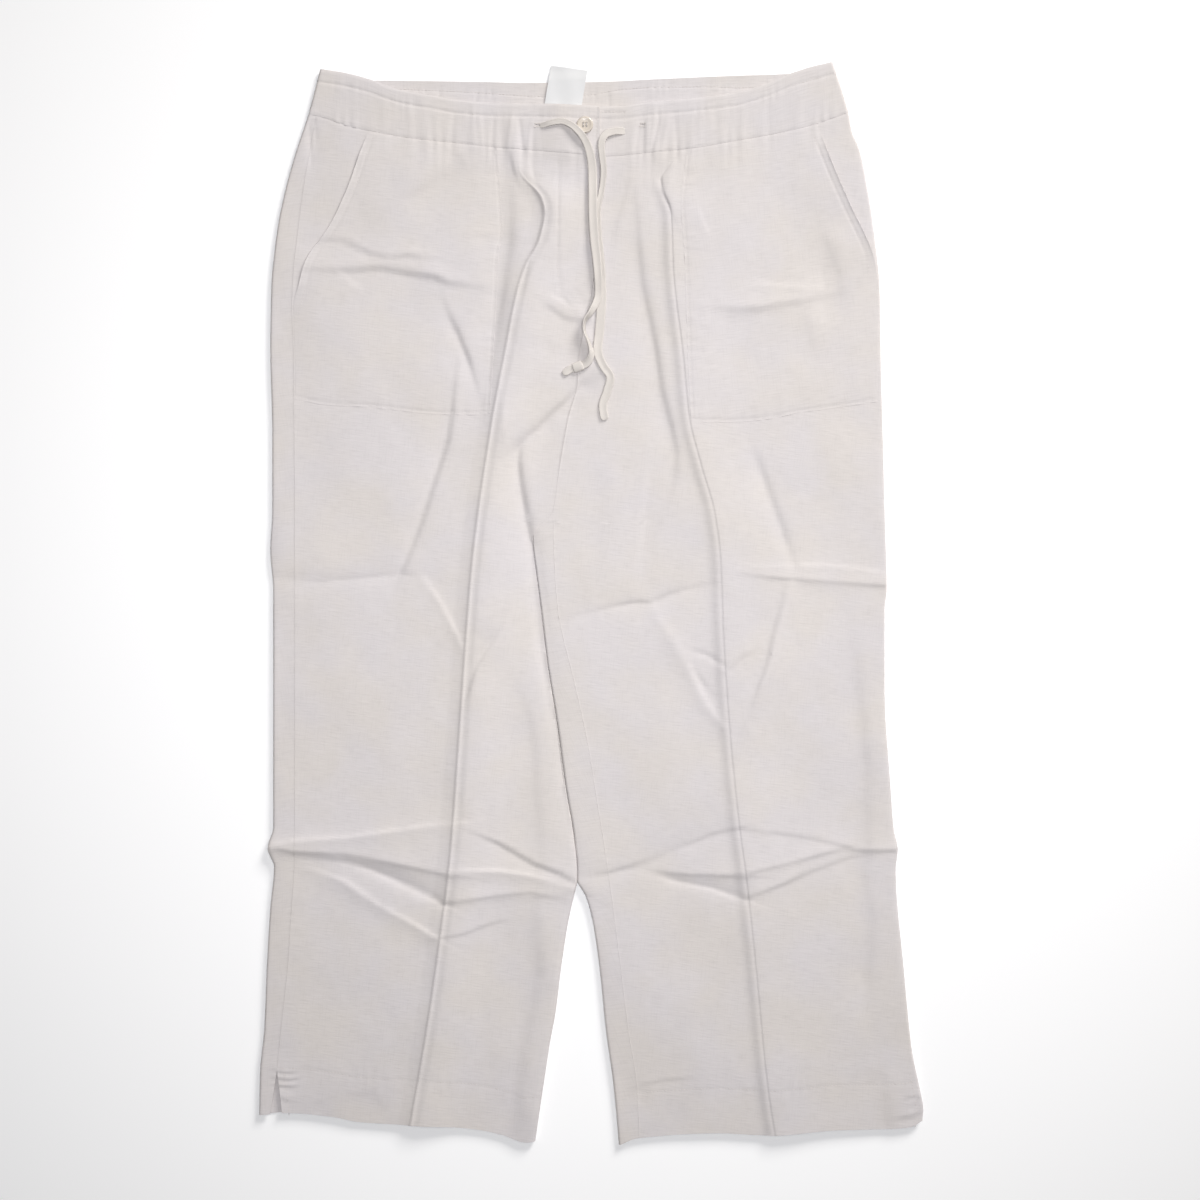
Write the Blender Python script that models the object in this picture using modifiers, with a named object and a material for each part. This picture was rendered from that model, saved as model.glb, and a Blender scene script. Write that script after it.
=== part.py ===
"""Capri pants lying flat: loose light cloth trousers with a shaped drawstring waistband.

The garment lies on its back.  Its back panels rest on the floor plane and its front
panels lie on them, with the seams where a wearer's right leg has rolled a little
outwards and the left leg a little inwards, so that a strip of each back panel shows.

Frame: X from the wearer's right to the wearer's left, Y from the hems to the waist,
Z up from the floor.  All sizes below are millimetres; the meshes are metres.
"""

import math
from collections import namedtuple

import bmesh
import bpy
import numpy as np

MM = 0.001
MERGE_DISTANCE = 0.00005    # metres

# ---- driving sizes ---------------------------------------------------------------------
CLOTH = 1.2             # wall of a panel
BAND_CLOTH = 1.6        # wall of the waistband, which is folded double
LABEL_CLOTH = 1.0
SEAM_GAP = 0.4          # clear space between two pieces at a seam or between layers
BACK_SEAM_GAP = 1.2     # wider where few columns follow the back band's curve
BACK_MID = CLOTH / 2    # height of a back panel's middle surface
FRONT_MID = 4.0         # height of a front panel's middle surface where it is smooth
LOWEST_MID = BACK_MID + CLOTH + SEAM_GAP    # a front panel never sinks below this
BACK_BAND_MID = BAND_CLOTH / 2
FRONT_BAND_MID = 4.1
OVERLAP_RISE = 2.0      # the buttoned end of the band lies on the other end
CROTCH_Y = 77.8         # the four panels meet here
STRIP_TOP_Y = 68.0      # the left leg's turned strip begins just below the crotch
STRIP_STEP_Y = 68.9     # above this the left front panel runs to the centre seam
SLIT_TOP_Y = -397.0     # the side slits open below this
LEGS_PART_Y = -237.0    # the inner edges touch above this
TURN_LENGTH = 30.0      # a turned edge opens or closes over this length
SLIT_OPENING = 0.45     # share of its turn that an edge loses at the slit
EDGE_READ = 2.0         # an edge takes its height from this far in
BUTTON_DIAMETER = 14.0
BUTTON_HEIGHT = 2.2
TAPE_WIDTH = 8.0        # drawstring, a flat folded tape
TAPE_HEIGHT = 1.6
TAPE_SPACING = 7.5      # between the points of a tape
TAPE_MARGIN = 1.0       # a tape clears raised cloth by this much sideways
ROUTE_STEPS = 24        # of the smooth curve, for each row of a route
SMOOTH_POINTS = 5       # a tape's height is evened out over this many points
BUTTON_PLACE = (-4.7, 406.0)
OVERLAP_EDGE = 7.8      # free edge of the band's buttoned end
UNDERLAP_EDGE = -14.0   # the other end reaches under it, to hold the button
OVERLAP_RAMP = (56.0, 32.0)     # the rise starts and ends this far from the free edge
UNDERLAP_SMOOTH = (6.0, 20.0)   # the other end has no gathers up to here, all from here
RIPPLE_FADE = 0.75      # share of its gathers that a band loses at its upper edge
BAND_GUESS_Y = 430.0    # where the fit of a band's points starts
FIT_ROUNDS = 6          # x and y follow each other's tables, so they settle in rounds
EDGE_COLUMN = 2.5
TURN_END = 0.87         # a turned edge stops short of the other sheet's turned edge
BAND_ROWS = 4
BAND_R_COLUMNS = (3, 22, 1)
BAND_L_COLUMNS = (1, 22, 3)
BAND_BACK_COLUMNS = (3, 18, 3)
FRONT_R_COLUMNS = (7, 5, 3)     # seam to press, press to turn, turn
FRONT_L_COLUMNS = (5, 7, 3)
BACK_COLUMNS = (1, 5, 4, 3)     # strip, wrap, flat, turn
POCKET_SETBACK = 0.8    # a patch stops just below the waistband
POCKET_MOUTH_LIFT = 1.2
POCKET_FULLNESS = 0.6
POCKET_CLEARANCE = 0.2  # added to the seam gap, for the panel's flat faces
POCKET_COLUMNS = 10
POCKET_ROWS = ((0, 0.35, 4), (0.35, 0.65, 7), (0.65, 1, 4))     # closer where a fold crosses
POCKET_GUESS_Y = 300.0  # where the fit of a pocket's points starts
MOUTH_WIDTH = 14.0      # the lifted mouth reaches this far into the patch
MOUTH_FOOT_R = 254.0
MOUTH_FOOT_L = 280.0
MOUTH_TOP = (405.0, 380.0)      # the lift is gone at the first y and full at the second
LABEL_WIDTH = 31.0
LABEL_TILT = 4.4        # the label lies turned a little clockwise
LABEL_HEAD = (-33.6, 458.2)
LABEL_FOOT = (-39.5, 421.5)
LABEL_DROP = (444.0, 456.0)     # it leaves the band at the first y and is down at the second
LABEL_FLOOR_GAP = 0.4
LABEL_WAVE = 0.2
LABEL_COLUMNS = 4
LABEL_ROWS = 8

# ---- drawstring ends: rows (x, y, lift above the cloth, turn about its length) ---------
DRAWSTRING_RIGHT = (    # leaves the band at the wearer's right
    (-41.0, 405.8, 0.2, 0), (-33.0, 408.0, 0.2, 0), (-24.0, 409.0, 0.2, 0),
    (-15.5, 405.0, 0.2, 0), (-7.0, 396.5, 0.2, 0), (-1.5, 386.0, 0.2, 0),
    (1.3, 372.0, 0.0, 0), (2.0, 350.0, 2.2, 0), (2.2, 330.0, 2.2, 0), (3.4, 310.0, 2.2, 0),
    (5.6, 290.0, 2.2, 0), (6.8, 270.0, 2.2, 0), (5.8, 258.0, 2.2, 10), (0.5, 247.0, 3.4, 45),
    (-4.8, 239.5, 3.4, 70), (-5.2, 231.0, 3.4, 70), (-1.6, 222.0, 3.4, 70),
    (1.0, 212.0, 3.4, 45), (-3.0, 204.0, 1.6, 10), (-9.5, 201.2, 0.4, 0),
    (-17.0, 198.8, 0.2, 0), (-23.5, 194.6, 0.2, 0),
)
DRAWSTRING_LEFT = (
    (30.0, 401.2, 0.2, 0), (20.0, 401.0, 0.2, 0), (12.6, 398.0, 0.2, 0), (9.4, 391.0, 0.2, 0),
    (9.8, 381.0, 0.2, 0), (11.2, 369.0, 0.0, 0), (10.6, 358.0, 0.0, 0), (8.6, 346.0, 0.0, 0),
    (6.2, 334.0, 0.0, 0), (6.4, 318.0, 0.0, 0), (7.6, 300.0, 0.0, 0), (9.0, 280.0, 0.0, 0),
    (9.4, 262.0, 0.0, 0), (8.8, 246.0, 0.0, 0), (7.6, 230.0, 0.0, 0), (6.2, 214.0, 0.0, 0),
    (11.0, 201.5, 0.0, 0), (16.8, 192.5, 0.0, 0), (14.4, 181.0, 0.0, 0), (10.6, 169.0, 0.0, 0),
    (12.2, 155.5, 0.0, 0),
)

# ---- outlines: each row is (y, x) ------------------------------------------------------
OUTER_RIGHT_LEG = (     # extreme edge at the wearer's right, -X
    (460, -228.5), (416, -240.0), (385, -250.3), (351, -259.7), (317, -266.5),
    (266, -271.6), (215, -272.4), (147, -270.7), (79, -270.7), (45, -272.4),
    (11, -269.9), (-73, -269.9), (-190, -269.9), (-208, -274.5), (-224, -269.2),
    (-260, -272.4), (-311, -275.4), (-362, -277.5), (-397, -281.0), (-440, -282.0),
)
OUTER_LEFT_LEG = (      # extreme edge at the wearer's left, +X
    (462, 205.5), (416, 219.7), (402, 222.3), (385, 229.1), (351, 235.9),
    (317, 241.0), (266, 246.1), (215, 246.9), (147, 248.6), (79, 250.3),
    (12, 252.0), (-5, 250.3), (-73, 250.3), (-158, 255.4), (-192, 258.0),
    (-209, 261.4), (-226, 259.7), (-311, 266.5), (-379, 273.3), (-413, 280.1),
    (-430, 283.0), (-440, 282.3),
)
CENTRE = (              # centre seam, then the crevice where the legs touch
    (390, 8.1), (343, 7.2), (300, 5.5), (266, 1.3), (237, -4.7), (215, -8.9),
    (185, -11.7), (158, -18.9), (122, -25.4), (96, -29.3), (77.8, -31.9),
    (66, -44.0), (54, -48.9), (28, -46.0), (-2, -42.1), (-52, -36.1),
    (-99, -28.5), (-156, -20.8), (-197, -14.0), (-229, -11.0), (-237, -11.2),
)
INNER_RIGHT_LEG = (     # below the point where the legs part
    (-237, -11.2), (-260, -16.6), (-277, -20.0), (-311, -25.1), (-345, -29.3),
    (-379, -35.3), (-413, -40.4), (-447, -45.5), (-460, -47.4),
)
INNER_LEFT_LEG = (
    (-237, -11.2), (-250, -3.8), (-272, 2.1), (-313, 8.1), (-363, 13.2),
    (-413, 20.0), (-462, 24.4),
)
SIDE_SEAM_RIGHT_LEG = (     # lies on top, inside the outer edge
    (414, -232.6), (385, -238.4), (361, -242.7), (317, -248.6), (275, -252.9),
    (253, -253.7), (215, -252.4), (174, -252.0), (3, -251.2), (-209, -251.2),
    (-268, -254.6), (-306, -257.1), (-354, -262.2), (-397, -266.5),
)
SLIT_FRONT_EDGE = ((-397, -266.5), (-412, -264.6), (-436, -262.0))
SLIT_BACK_EDGE = ((-397, -266.5), (-412, -268.8), (-436, -272.6))
INSEAM_LEFT_LEG = (         # lies on top, inside the inner edge
    (77.8, -31.9), (51, -31.4), (0, -28.5), (-70, -13.2), (-112, -3.8),
    (-169, 5.5), (-222, 14.0), (-293, 23.4), (-362, 31.9), (-413, 39.5),
    (-462, 41.6),
)
PRESS_RIGHT_LEG = (         # the pressed crease down the front of each leg
    (400, -64.5), (368, -59.9), (344, -41.2), (332, -38.7), (309, -42.9),
    (288, -54.0), (268, -60.8), (209, -72.7), (153, -84.6), (37, -102.4),
    (-44, -108.4), (-116, -110.9), (-209, -117.7), (-286, -127.1),
    (-362, -138.1), (-445, -152.5),
)
PRESS_LEFT_LEG = (
    (400, 78.0), (379, 72.7), (361, 60.8), (330, 69.3), (285, 71.0),
    (209, 79.5), (158, 84.6), (117, 94.8), (78, 105.8), (39, 110.9),
    (-26, 113.5), (-104, 118.6), (-182, 126.2), (-234, 133.0), (-305, 140.7),
    (-409, 150.9), (-455, 157.9),
)

# ---- edges along the width: each row is (x, y) -----------------------------------------
HEM_RIGHT_LEG = (
    (-282, -434.8), (-258, -433.1), (-218, -436.5), (-197, -440.7),
    (-116, -445.0), (-95, -447.5), (-75, -451.8), (-54.8, -458.0), (-46, -457.0),
)
HEM_LEFT_LEG = (
    (22, -461.6), (41, -454.3), (108, -450.1), (149, -451.8), (210, -447.5),
    (251, -446.7), (272, -445.0), (283, -439.0),
)
BAND_SEAM = (               # lower edge of the front waistband
    (-241, 416.0), (-228, 413.5), (-208, 406.5), (-188, 402.0), (-153, 395.7),
    (-113, 391.4), (-80, 388.0), (-43, 385.0), (-4, 381.4), (12, 380.4),
    (27, 381.2), (52, 383.8), (85, 387.0), (127, 394.0), (159, 399.9),
    (188, 406.7), (220, 417.8),
)
FRONT_TOP = (
    (-230, 454.3), (-209, 450.9), (-189, 445.8), (-175, 440.7), (-162, 436.5),
    (-133, 431.4), (-113, 428.0), (-82, 425.4), (-40, 424.6), (8, 422.6),
    (27, 422.9), (44, 425.4), (97, 430.5), (126, 434.8), (149, 441.6),
    (172, 450.9), (188, 456.0), (206, 460.3),
)
BACK_TOP = (
    (-230, 453.6), (-209, 449.8), (-186, 445.4), (-153, 445.0), (-94, 444.1),
    (-55, 443.3), (6, 444.1), (61, 446.7), (119, 449.2), (172, 451.2),
    (188, 454.6), (206, 459.6),
)
BACK_SEAM = (
    (-241, 416.0), (-205, 409.5), (-150, 405.5), (0, 403.5), (130, 406.0),
    (180, 410.0), (220, 417.8),
)

# ---- pockets: a patch on each front, open along a slanted edge -------------------------
POCKET_RIGHT_OUTER = (      # rows (y, x)
    (404, -187.7), (383, -195.9), (358, -204.4), (342, -211.2), (326, -218.9),
    (310, -229.1), (299, -237.8), (287, -243.5), (271, -247.8), (254, -252.0),
    (215, -251.0), (170, -250.4),
)
POCKET_RIGHT_INNER = (
    (392, -79.8), (343, -76.1), (312, -74.4), (301, -77.8), (268, -79.5), (157, -85.4),
)
POCKET_RIGHT_FOOT = (       # rows (x, y)
    (-251, 173.8), (-224, 168.7), (-192, 167.0), (-167, 164.5), (-135, 161.1),
    (-94, 160.2), (-84, 161.9),
)
POCKET_LEFT_INNER = (
    (390, 83.2), (372, 80.3), (335, 76.9), (301, 79.5), (251, 81.2), (184, 83.7), (150, 85.9),
)
POCKET_LEFT_OUTER = (
    (414, 190.0), (394, 197.6), (364, 209.5), (337, 221.4), (311, 234.2), (296, 240.0),
    (284, 242.6), (266, 242.8), (215, 243.4), (165, 244.6),
)
POCKET_LEFT_FOOT = (
    (85, 153.8), (114, 153.8), (153, 156.8), (176, 161.9), (202, 165.3), (245, 171.6),
)

# ---- the largest folds -----------------------------------------------------------------
# path: points (x, y).  height: above the smooth cloth, below it where negative.
# left, right: how far the fold reaches on each side of its path, as it runs.
# start, end: the share of the height that is left at each end of the path.
Fold = namedtuple("Fold", "name path height left right start end")
FOLDS = (
    Fold("crotch drag", ((-6, 186), (-21, 170), (-34, 161), (-46, 148), (-60, 137), (-56, 96),
                         (-49, 54)), -1.7, 9, 8, 0.4, 0.8),
    Fold("crotch bulge", ((-30, 215), (-40, 178)), 1.4, 14, 12, 0.2, 0.5),
    Fold("right thigh upper", ((-124, 256), (-112, 230), (-97, 187)), -1.3, 6, 6, 0.1, 0.3),
    Fold("right thigh lower", ((-118, 156), (-125, 130), (-141, 78), (-160, 28)),
         -1.5, 7, 6, 0.3, 0.5),
    Fold("right cross fold", ((-268, 22), (-221, 22), (-162, 27), (-136, 24)),
         -1.3, 6, 6, 0.8, 0.4),
    Fold("right diamond", ((-141, 20), (-124, -5), (-108, -38)), 1.3, 5, 7, 0.4, 0.6),
    Fold("right knee 1", ((-274, -208), (-252, -201), (-209, -198), (-162, -191), (-118, -186)),
         1.8, 6, 14, 1.0, 0.5),
    Fold("right knee 2", ((-274, -208), (-252, -210), (-213, -214), (-162, -222), (-118, -230)),
         3.0, 16, 6, 0.8, 0.5),
    Fold("right knee 3", ((-252, -215), (-209, -220), (-170, -232), (-136, -247), (-124, -256)),
         -1.6, 5, 7, 0.3, 0.6),
    Fold("right knee 4", ((-238, -225), (-209, -236), (-162, -263), (-136, -281), (-128, -284)),
         2.0, 12, 6, 0.2, 0.6),
    Fold("right knee 5", ((-109, -184), (-77, -199), (-47, -218), (-17, -231)),
         -1.6, 7, 7, 0.5, 0.7),
    Fold("right knee 6", ((-115, -226), (-68, -228), (-26, -235), (-13, -242)),
         2.0, 12, 6, 0.5, 0.9),
    Fold("right knee 7", ((-115, -254), (-77, -250), (-26, -246)), 1.4, 12, 5, 0.6, 0.4),
    Fold("right pocket fold", ((-235, 287), (-199, 288), (-176, 290), (-154, 287), (-122, 277),
                               (-94, 271)), 2.2, 11, 5, 0.5, 0.3),
    Fold("left waist drag 1", ((42, 301), (51, 251), (56, 205), (62, 176)), -1.4, 9, 9, 0.2, 0.4),
    Fold("left waist drag 2", ((72, 379), (60, 361), (67, 332)), -1.4, 6, 5, 0.4, 0.2),
    Fold("left hip valley", ((136, 138), (153, 96), (173, 39)), -1.6, 7, 6, 0.2, 0.6),
    Fold("left lens upper", ((131, 34), (173, 31), (217, 30), (249, 21)), 1.6, 5, 12, 0.2, 1.0),
    Fold("left lens lower", ((121, 28), (170, 21), (207, 17), (251, 16)), 2.2, 12, 4, 0.2, 1.0),
    Fold("left diamond inner", ((51, 2), (79, -42), (95, -84), (113, -104)), 1.5, 6, 6, 0.5, 0.5),
    Fold("left diamond outer", ((170, 16), (160, -21), (150, -60), (126, -102)),
         1.2, 6, 6, 0.5, 0.4),
    Fold("left cross fold", ((-9, -5), (17, -1), (51, 2), (74, 11), (103, 17)),
         -1.3, 6, 6, 0.3, 0.3),
    Fold("left knee 1", ((-6, -233), (14, -230), (42, -225), (70, -210), (102, -198), (129, -192)),
         -1.4, 7, 7, 0.8, 0.4),
    Fold("left knee 2", ((48, -226), (80, -230), (114, -230), (132, -231)), 2.4, 12, 5, 0.1, 0.8),
    Fold("left knee 3", ((48, -228), (74, -237), (104, -242), (132, -251)), -1.3, 5, 7, 0.1, 0.6),
    Fold("left knee 4", ((135, -228), (170, -221), (197, -211), (216, -209), (241, -209),
                         (260, -208)), 2.2, 12, 5, 0.7, 1.0),
    Fold("left knee 5", ((138, -249), (160, -238), (187, -222)), 1.3, 9, 5, 0.6, 0.2),
    Fold("left pocket fold", ((101, 246), (126, 249), (153, 253), (176, 256)), 1.7, 8, 5, 0.1, 0.6),
    Fold("left pocket valley", ((198, 301), (199, 262), (198, 234)), -1.3, 15, 15, 0.1, 0.1),
)
PRESS_HEIGHT = 2.2
PRESS_WIDTH = (8.0, 15.0)       # towards the wearer's right, towards the left
PRESS_FADE = (385.0, 330.0)     # none at the first y, full at the second
CREST = 1.2                     # softness of every crest
FOLD_END = 0.35                 # share of a path over which its start or end height changes
FLY_RISE = 0.9
FLY_RISE_WIDTH = 22.0
FLY_FOOT = (205.0, 260.0)       # no rise at the first y, full at the second
BAND_RIPPLES = (                # gathers in the drawstring channel: (x, height, width)
    (-99, 0.7, 4), (-76, -0.5, 3), (-65, 0.8, 4), (-50, -0.6, 3), (-20, 0.4, 5),
    (36, 0.5, 4), (45, -0.7, 3), (54, 0.8, 4), (86, 0.5, 4), (110, 0.4, 5), (-140, 0.4, 6),
)

# ---- the button's turned profile: (share of its radius, share of its height) -----------
BUTTON_PROFILE = (
    (0.0, 0.72), (0.62, 0.72), (0.74, 1.0), (0.9, 1.0), (1.0, 0.75),
    (1.0, 0.3), (0.86, 0.0), (0.0, 0.0),
)
BUTTON_STEPS = 20

# ---- mesh stations ---------------------------------------------------------------------
# rows of a panel, each run (from y, to y, steps), hem to waist
PANEL_ROWS = (
    (-446, -300, 4), (-300, -180, 10), (-180, 0, 4), (0, 40, 4), (55, 67.6, 1), (68.4, 69.4, 1),
    (69.4, 77.8, 1), (77.8, 240, 5), (240, 300, 5), (300, 381, 3),
)
ROW_FOOT_Y = -446
ROW_TOP_Y = 381
BEND_REACH = 120.0      # rows take the hem's and the waist's curve within this distance

COLOURS = {
    "cloth": (0.70, 0.665, 0.655, 1.0),
    "tape": (0.69, 0.65, 0.61, 1.0),
    "label": (0.85, 0.85, 0.85, 1.0),
    "button": (0.72, 0.66, 0.58, 1.0),
}


# ---- reading the tables ----------------------------------------------------------------
def follow(table, at):
    """Value of a smooth curve through a table's rows (place, value), without overshoot."""
    place, value = np.array(sorted(table), dtype=float).T
    at = np.clip(np.asarray(at, dtype=float), place[0], place[-1])
    step = np.diff(place)
    slope = np.diff(value) / step
    product = slope[:-1] * slope[1:]
    total = np.where(product > 0, slope[:-1] + slope[1:], 1.0)
    inner = np.where(product > 0, 2 * product / total, 0.0)
    tangent = np.concatenate(([slope[0]], inner, [slope[-1]]))
    row = np.clip(np.searchsorted(place, at) - 1, 0, len(step) - 1)
    t = (at - place[row]) / step[row]
    rise = value[row + 1] - value[row]
    start = tangent[row] * step[row]
    end = tangent[row + 1] * step[row]
    return value[row] + t * (start + t * (3 * rise - 2 * start - end + t * (start + end - 2 * rise)))


def stations(runs):
    """Joins runs of evenly spaced positions, each (from, to, steps), into one list."""
    places = []
    for first, last, steps in runs:
        for step in range(steps + 1):
            places.append(round(first + (last - first) * step / steps, 6))
    return np.array(sorted(set(places)))


def ease(low, high, at):
    """0 at low, 1 at high, with level ends."""
    t = np.clip((at - low) / (high - low), 0.0, 1.0)
    return t * t * (3 - 2 * t)


# ---- the front's surface ---------------------------------------------------------------
def fold_height(fold, x, y):
    """Height that one fold adds at each point."""
    path = np.array(fold.path, dtype=float)
    lengths = np.hypot(*np.diff(path, axis=0).T)
    run = np.concatenate(([0.0], np.cumsum(lengths)))
    nearest = np.full(np.shape(x), np.inf)
    side = np.zeros(np.shape(x))
    share = np.zeros(np.shape(x))
    for index, length in enumerate(lengths):
        start = path[index]
        along = (path[index + 1] - start) / length
        t = np.clip((x - start[0]) * along[0] + (y - start[1]) * along[1], 0, length)
        off_x = x - start[0] - along[0] * t
        off_y = y - start[1] - along[1] * t
        distance = np.hypot(off_x, off_y)
        closer = distance < nearest
        nearest = np.where(closer, distance, nearest)
        side = np.where(closer, along[0] * off_y - along[1] * off_x, side)
        share = np.where(closer, (run[index] + t) / run[-1], share)
    width = np.where(side > 0, fold.left, fold.right)
    profile = np.exp(-(np.hypot(nearest, CREST) - CREST) / width)
    ends = fold.start + (1 - fold.start) * ease(0, FOLD_END, share)
    ends *= fold.end + (1 - fold.end) * ease(1, 1 - FOLD_END, share)
    return fold.height * ends * profile


def press_height(table, x, y):
    """Height of a leg's pressed crease, which fades under the waistband."""
    distance = x - follow(table, y)
    width = np.where(distance < 0, PRESS_WIDTH[0], PRESS_WIDTH[1])
    profile = np.exp(-(np.hypot(distance, CREST) - CREST) / width)
    return PRESS_HEIGHT * profile * ease(*PRESS_FADE, y)


def front_mid(x, y):
    """Height of the middle surface of everything that lies on top."""
    x = np.asarray(x, dtype=float)
    y = np.asarray(y, dtype=float)
    height = FRONT_MID + press_height(PRESS_RIGHT_LEG, x, y) + press_height(PRESS_LEFT_LEG, x, y)
    for fold in FOLDS:
        height = height + fold_height(fold, x, y)
    return np.maximum(height, LOWEST_MID)


def fly_rise(x, y):
    """The buttoned side of the fly stands a little higher than the other."""
    distance = follow(CENTRE, y) - x
    return FLY_RISE * np.exp(-np.clip(distance, 0, None) / FLY_RISE_WIDTH) * ease(*FLY_FOOT, y)


# ---- edges of the two halves -----------------------------------------------------------
def inner_edge(table, y):
    return np.where(y > LEGS_PART_Y, follow(CENTRE, y), follow(table, y))


def crotch_turn(y):
    """How far the inner edges are turned: flat above the crotch, a full turn below it."""
    return ease(CROTCH_Y, CROTCH_Y - TURN_LENGTH, y)


def slit_turn(y):
    """The left leg's outer edges lie open at the slit."""
    return 1 - SLIT_OPENING * ease(SLIT_TOP_Y, SLIT_TOP_Y - TURN_LENGTH, y)


def right_outer(y):
    return follow(OUTER_RIGHT_LEG, y) + CLOTH / 2


def right_inner(y):
    turned = np.sin(crotch_turn(y) * math.pi / 2)
    return inner_edge(INNER_RIGHT_LEG, y) - SEAM_GAP / 2 - turned * CLOTH / 2


def left_inner(y):
    return inner_edge(INNER_LEFT_LEG, y) + SEAM_GAP / 2 + CLOTH / 2


def left_outer(y):
    return follow(OUTER_LEFT_LEG, y) - CLOTH / 2


def right_front_seam(y):
    above = follow(SIDE_SEAM_RIGHT_LEG, y)
    return np.where(y > SLIT_TOP_Y, above, follow(SLIT_FRONT_EDGE, y)) + SEAM_GAP / 2


def right_back_seam(y):
    above = follow(SIDE_SEAM_RIGHT_LEG, y)
    return np.where(y > SLIT_TOP_Y, above, follow(SLIT_BACK_EDGE, y)) - SEAM_GAP / 2


def left_front_seam(y):
    above = follow(CENTRE, y)
    return np.where(y > STRIP_STEP_Y, above, follow(INSEAM_LEFT_LEG, y)) + SEAM_GAP / 2


def left_back_seam(y):
    return follow(INSEAM_LEFT_LEG, y) - SEAM_GAP / 2


# wrap: the extreme edge where the back panel turns over onto the top
# seam: where the front panel begins and where the turned strip of the back panel ends
# far: the other edge, where front and back meet halfway up; turn: how far they are turned
Half = namedtuple("Half", "wrap front_seam back_seam press far turn hem")
RIGHT_HALF = Half(right_outer, right_front_seam, right_back_seam, PRESS_RIGHT_LEG,
                  right_inner, crotch_turn, HEM_RIGHT_LEG)
LEFT_HALF = Half(left_inner, left_front_seam, left_back_seam, PRESS_LEFT_LEG,
                 left_outer, slit_turn, HEM_LEFT_LEG)


# ---- sections across a half ------------------------------------------------------------
def radius_at(x, y):
    """Radius of the turned edge that joins the top surface to the back panel."""
    return (front_mid(x, y) - BACK_MID) / 2


def edge_turn(share, radius, turned):
    """A sheet's last stretch, for share 0 at its start to 1 at the free edge.

    Returns the distance in from the extreme edge and the drop from the sheet's face.
    """
    length = radius * math.pi / 2
    angle = turned * math.pi / 2
    straight = length - radius * angle
    run = share * length
    bend = np.clip(run - straight, 0, None) / radius
    out = np.minimum(run, straight) + radius * np.sin(bend)
    reach = straight + radius * np.sin(angle)
    return reach - out, radius * (1 - np.cos(bend))


def mix(low, high, share):
    return low + (high - low) * share


def front_section(half, zone, share, y):
    """x and height across a front panel; zones: seam to press, press to turn, turn."""
    far = half.far(y)
    radius = radius_at(far - EDGE_READ, y)
    turned = half.turn(y)
    start_in, _ = edge_turn(0.0, radius, turned)
    last_in, drop = edge_turn(share * TURN_END, radius, turned)
    press = follow(half.press, y)
    x = np.select([zone == 0, zone == 1],
                  [mix(half.front_seam(y), press, share), mix(press, far - start_in, share)],
                  far - last_in)
    turned_top = mix(front_mid(x, y), BACK_MID + 2 * radius, share) - drop
    return x, np.where(zone == 2, turned_top, front_mid(x, y))


def back_section(half, zone, share, y, flat_edge):
    """x and height across a back panel; zones: strip, wrap, flat, turn."""
    wrap = half.wrap(y)
    wrap_radius = radius_at(wrap + EDGE_READ, y)
    angle = share * math.pi
    far = half.far(y)
    radius = radius_at(far - EDGE_READ, y)
    turned = half.turn(y)
    start_in, _ = edge_turn(0.0, radius, turned)
    last_in, rise = edge_turn(share * TURN_END, radius, turned)
    flat_start = np.where(y > flat_edge, left_front_seam(y), wrap + wrap_radius)
    closer_at_ends = (1 - np.cos(share * math.pi)) / 2
    x = np.select([zone == 0, zone == 1, zone == 2],
                  [mix(half.back_seam(y), wrap + wrap_radius, share),
                   wrap + wrap_radius * (1 - np.sin(angle)),
                   mix(flat_start, far - start_in, closer_at_ends)],
                  far - last_in)
    z = np.select([zone == 0, zone == 1, zone == 2],
                  [front_mid(x, y), BACK_MID + wrap_radius * (1 + np.cos(angle)),
                   np.full(np.shape(y), BACK_MID)],
                  BACK_MID + rise)
    return x, z


def bend_rows(x, row_y, hem, top, gap):
    """Rows take the hem's curve at one end and the waist's, less a gap, at the other."""
    near_hem = ease(ROW_FOOT_Y + BEND_REACH, ROW_FOOT_Y, row_y)
    near_top = ease(ROW_TOP_Y - BEND_REACH, ROW_TOP_Y, row_y)
    hem_shift = (follow(hem, x) - ROW_FOOT_Y) * near_hem
    top_shift = (follow(top, x) - gap - ROW_TOP_Y) * near_top
    return row_y + hem_shift + top_shift


def columns(*counts):
    """Zone number and share for each column; a zone of n steps adds n columns."""
    zone = [0]
    share = [0.0]
    for number, count in enumerate(counts):
        for step in range(count):
            zone.append(number)
            share.append((step + 1) / count)
    return np.array(zone), np.array(share)


# ---- making the pieces -----------------------------------------------------------------
def material(name, roughness):
    made = bpy.data.materials.new(name)
    made.use_nodes = True
    shader = made.node_tree.nodes["Principled BSDF"]
    shader.inputs["Base Color"].default_value = COLOURS[name]
    shader.inputs["Roughness"].default_value = roughness
    shader.inputs["Metallic"].default_value = 0.0
    return made


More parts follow.
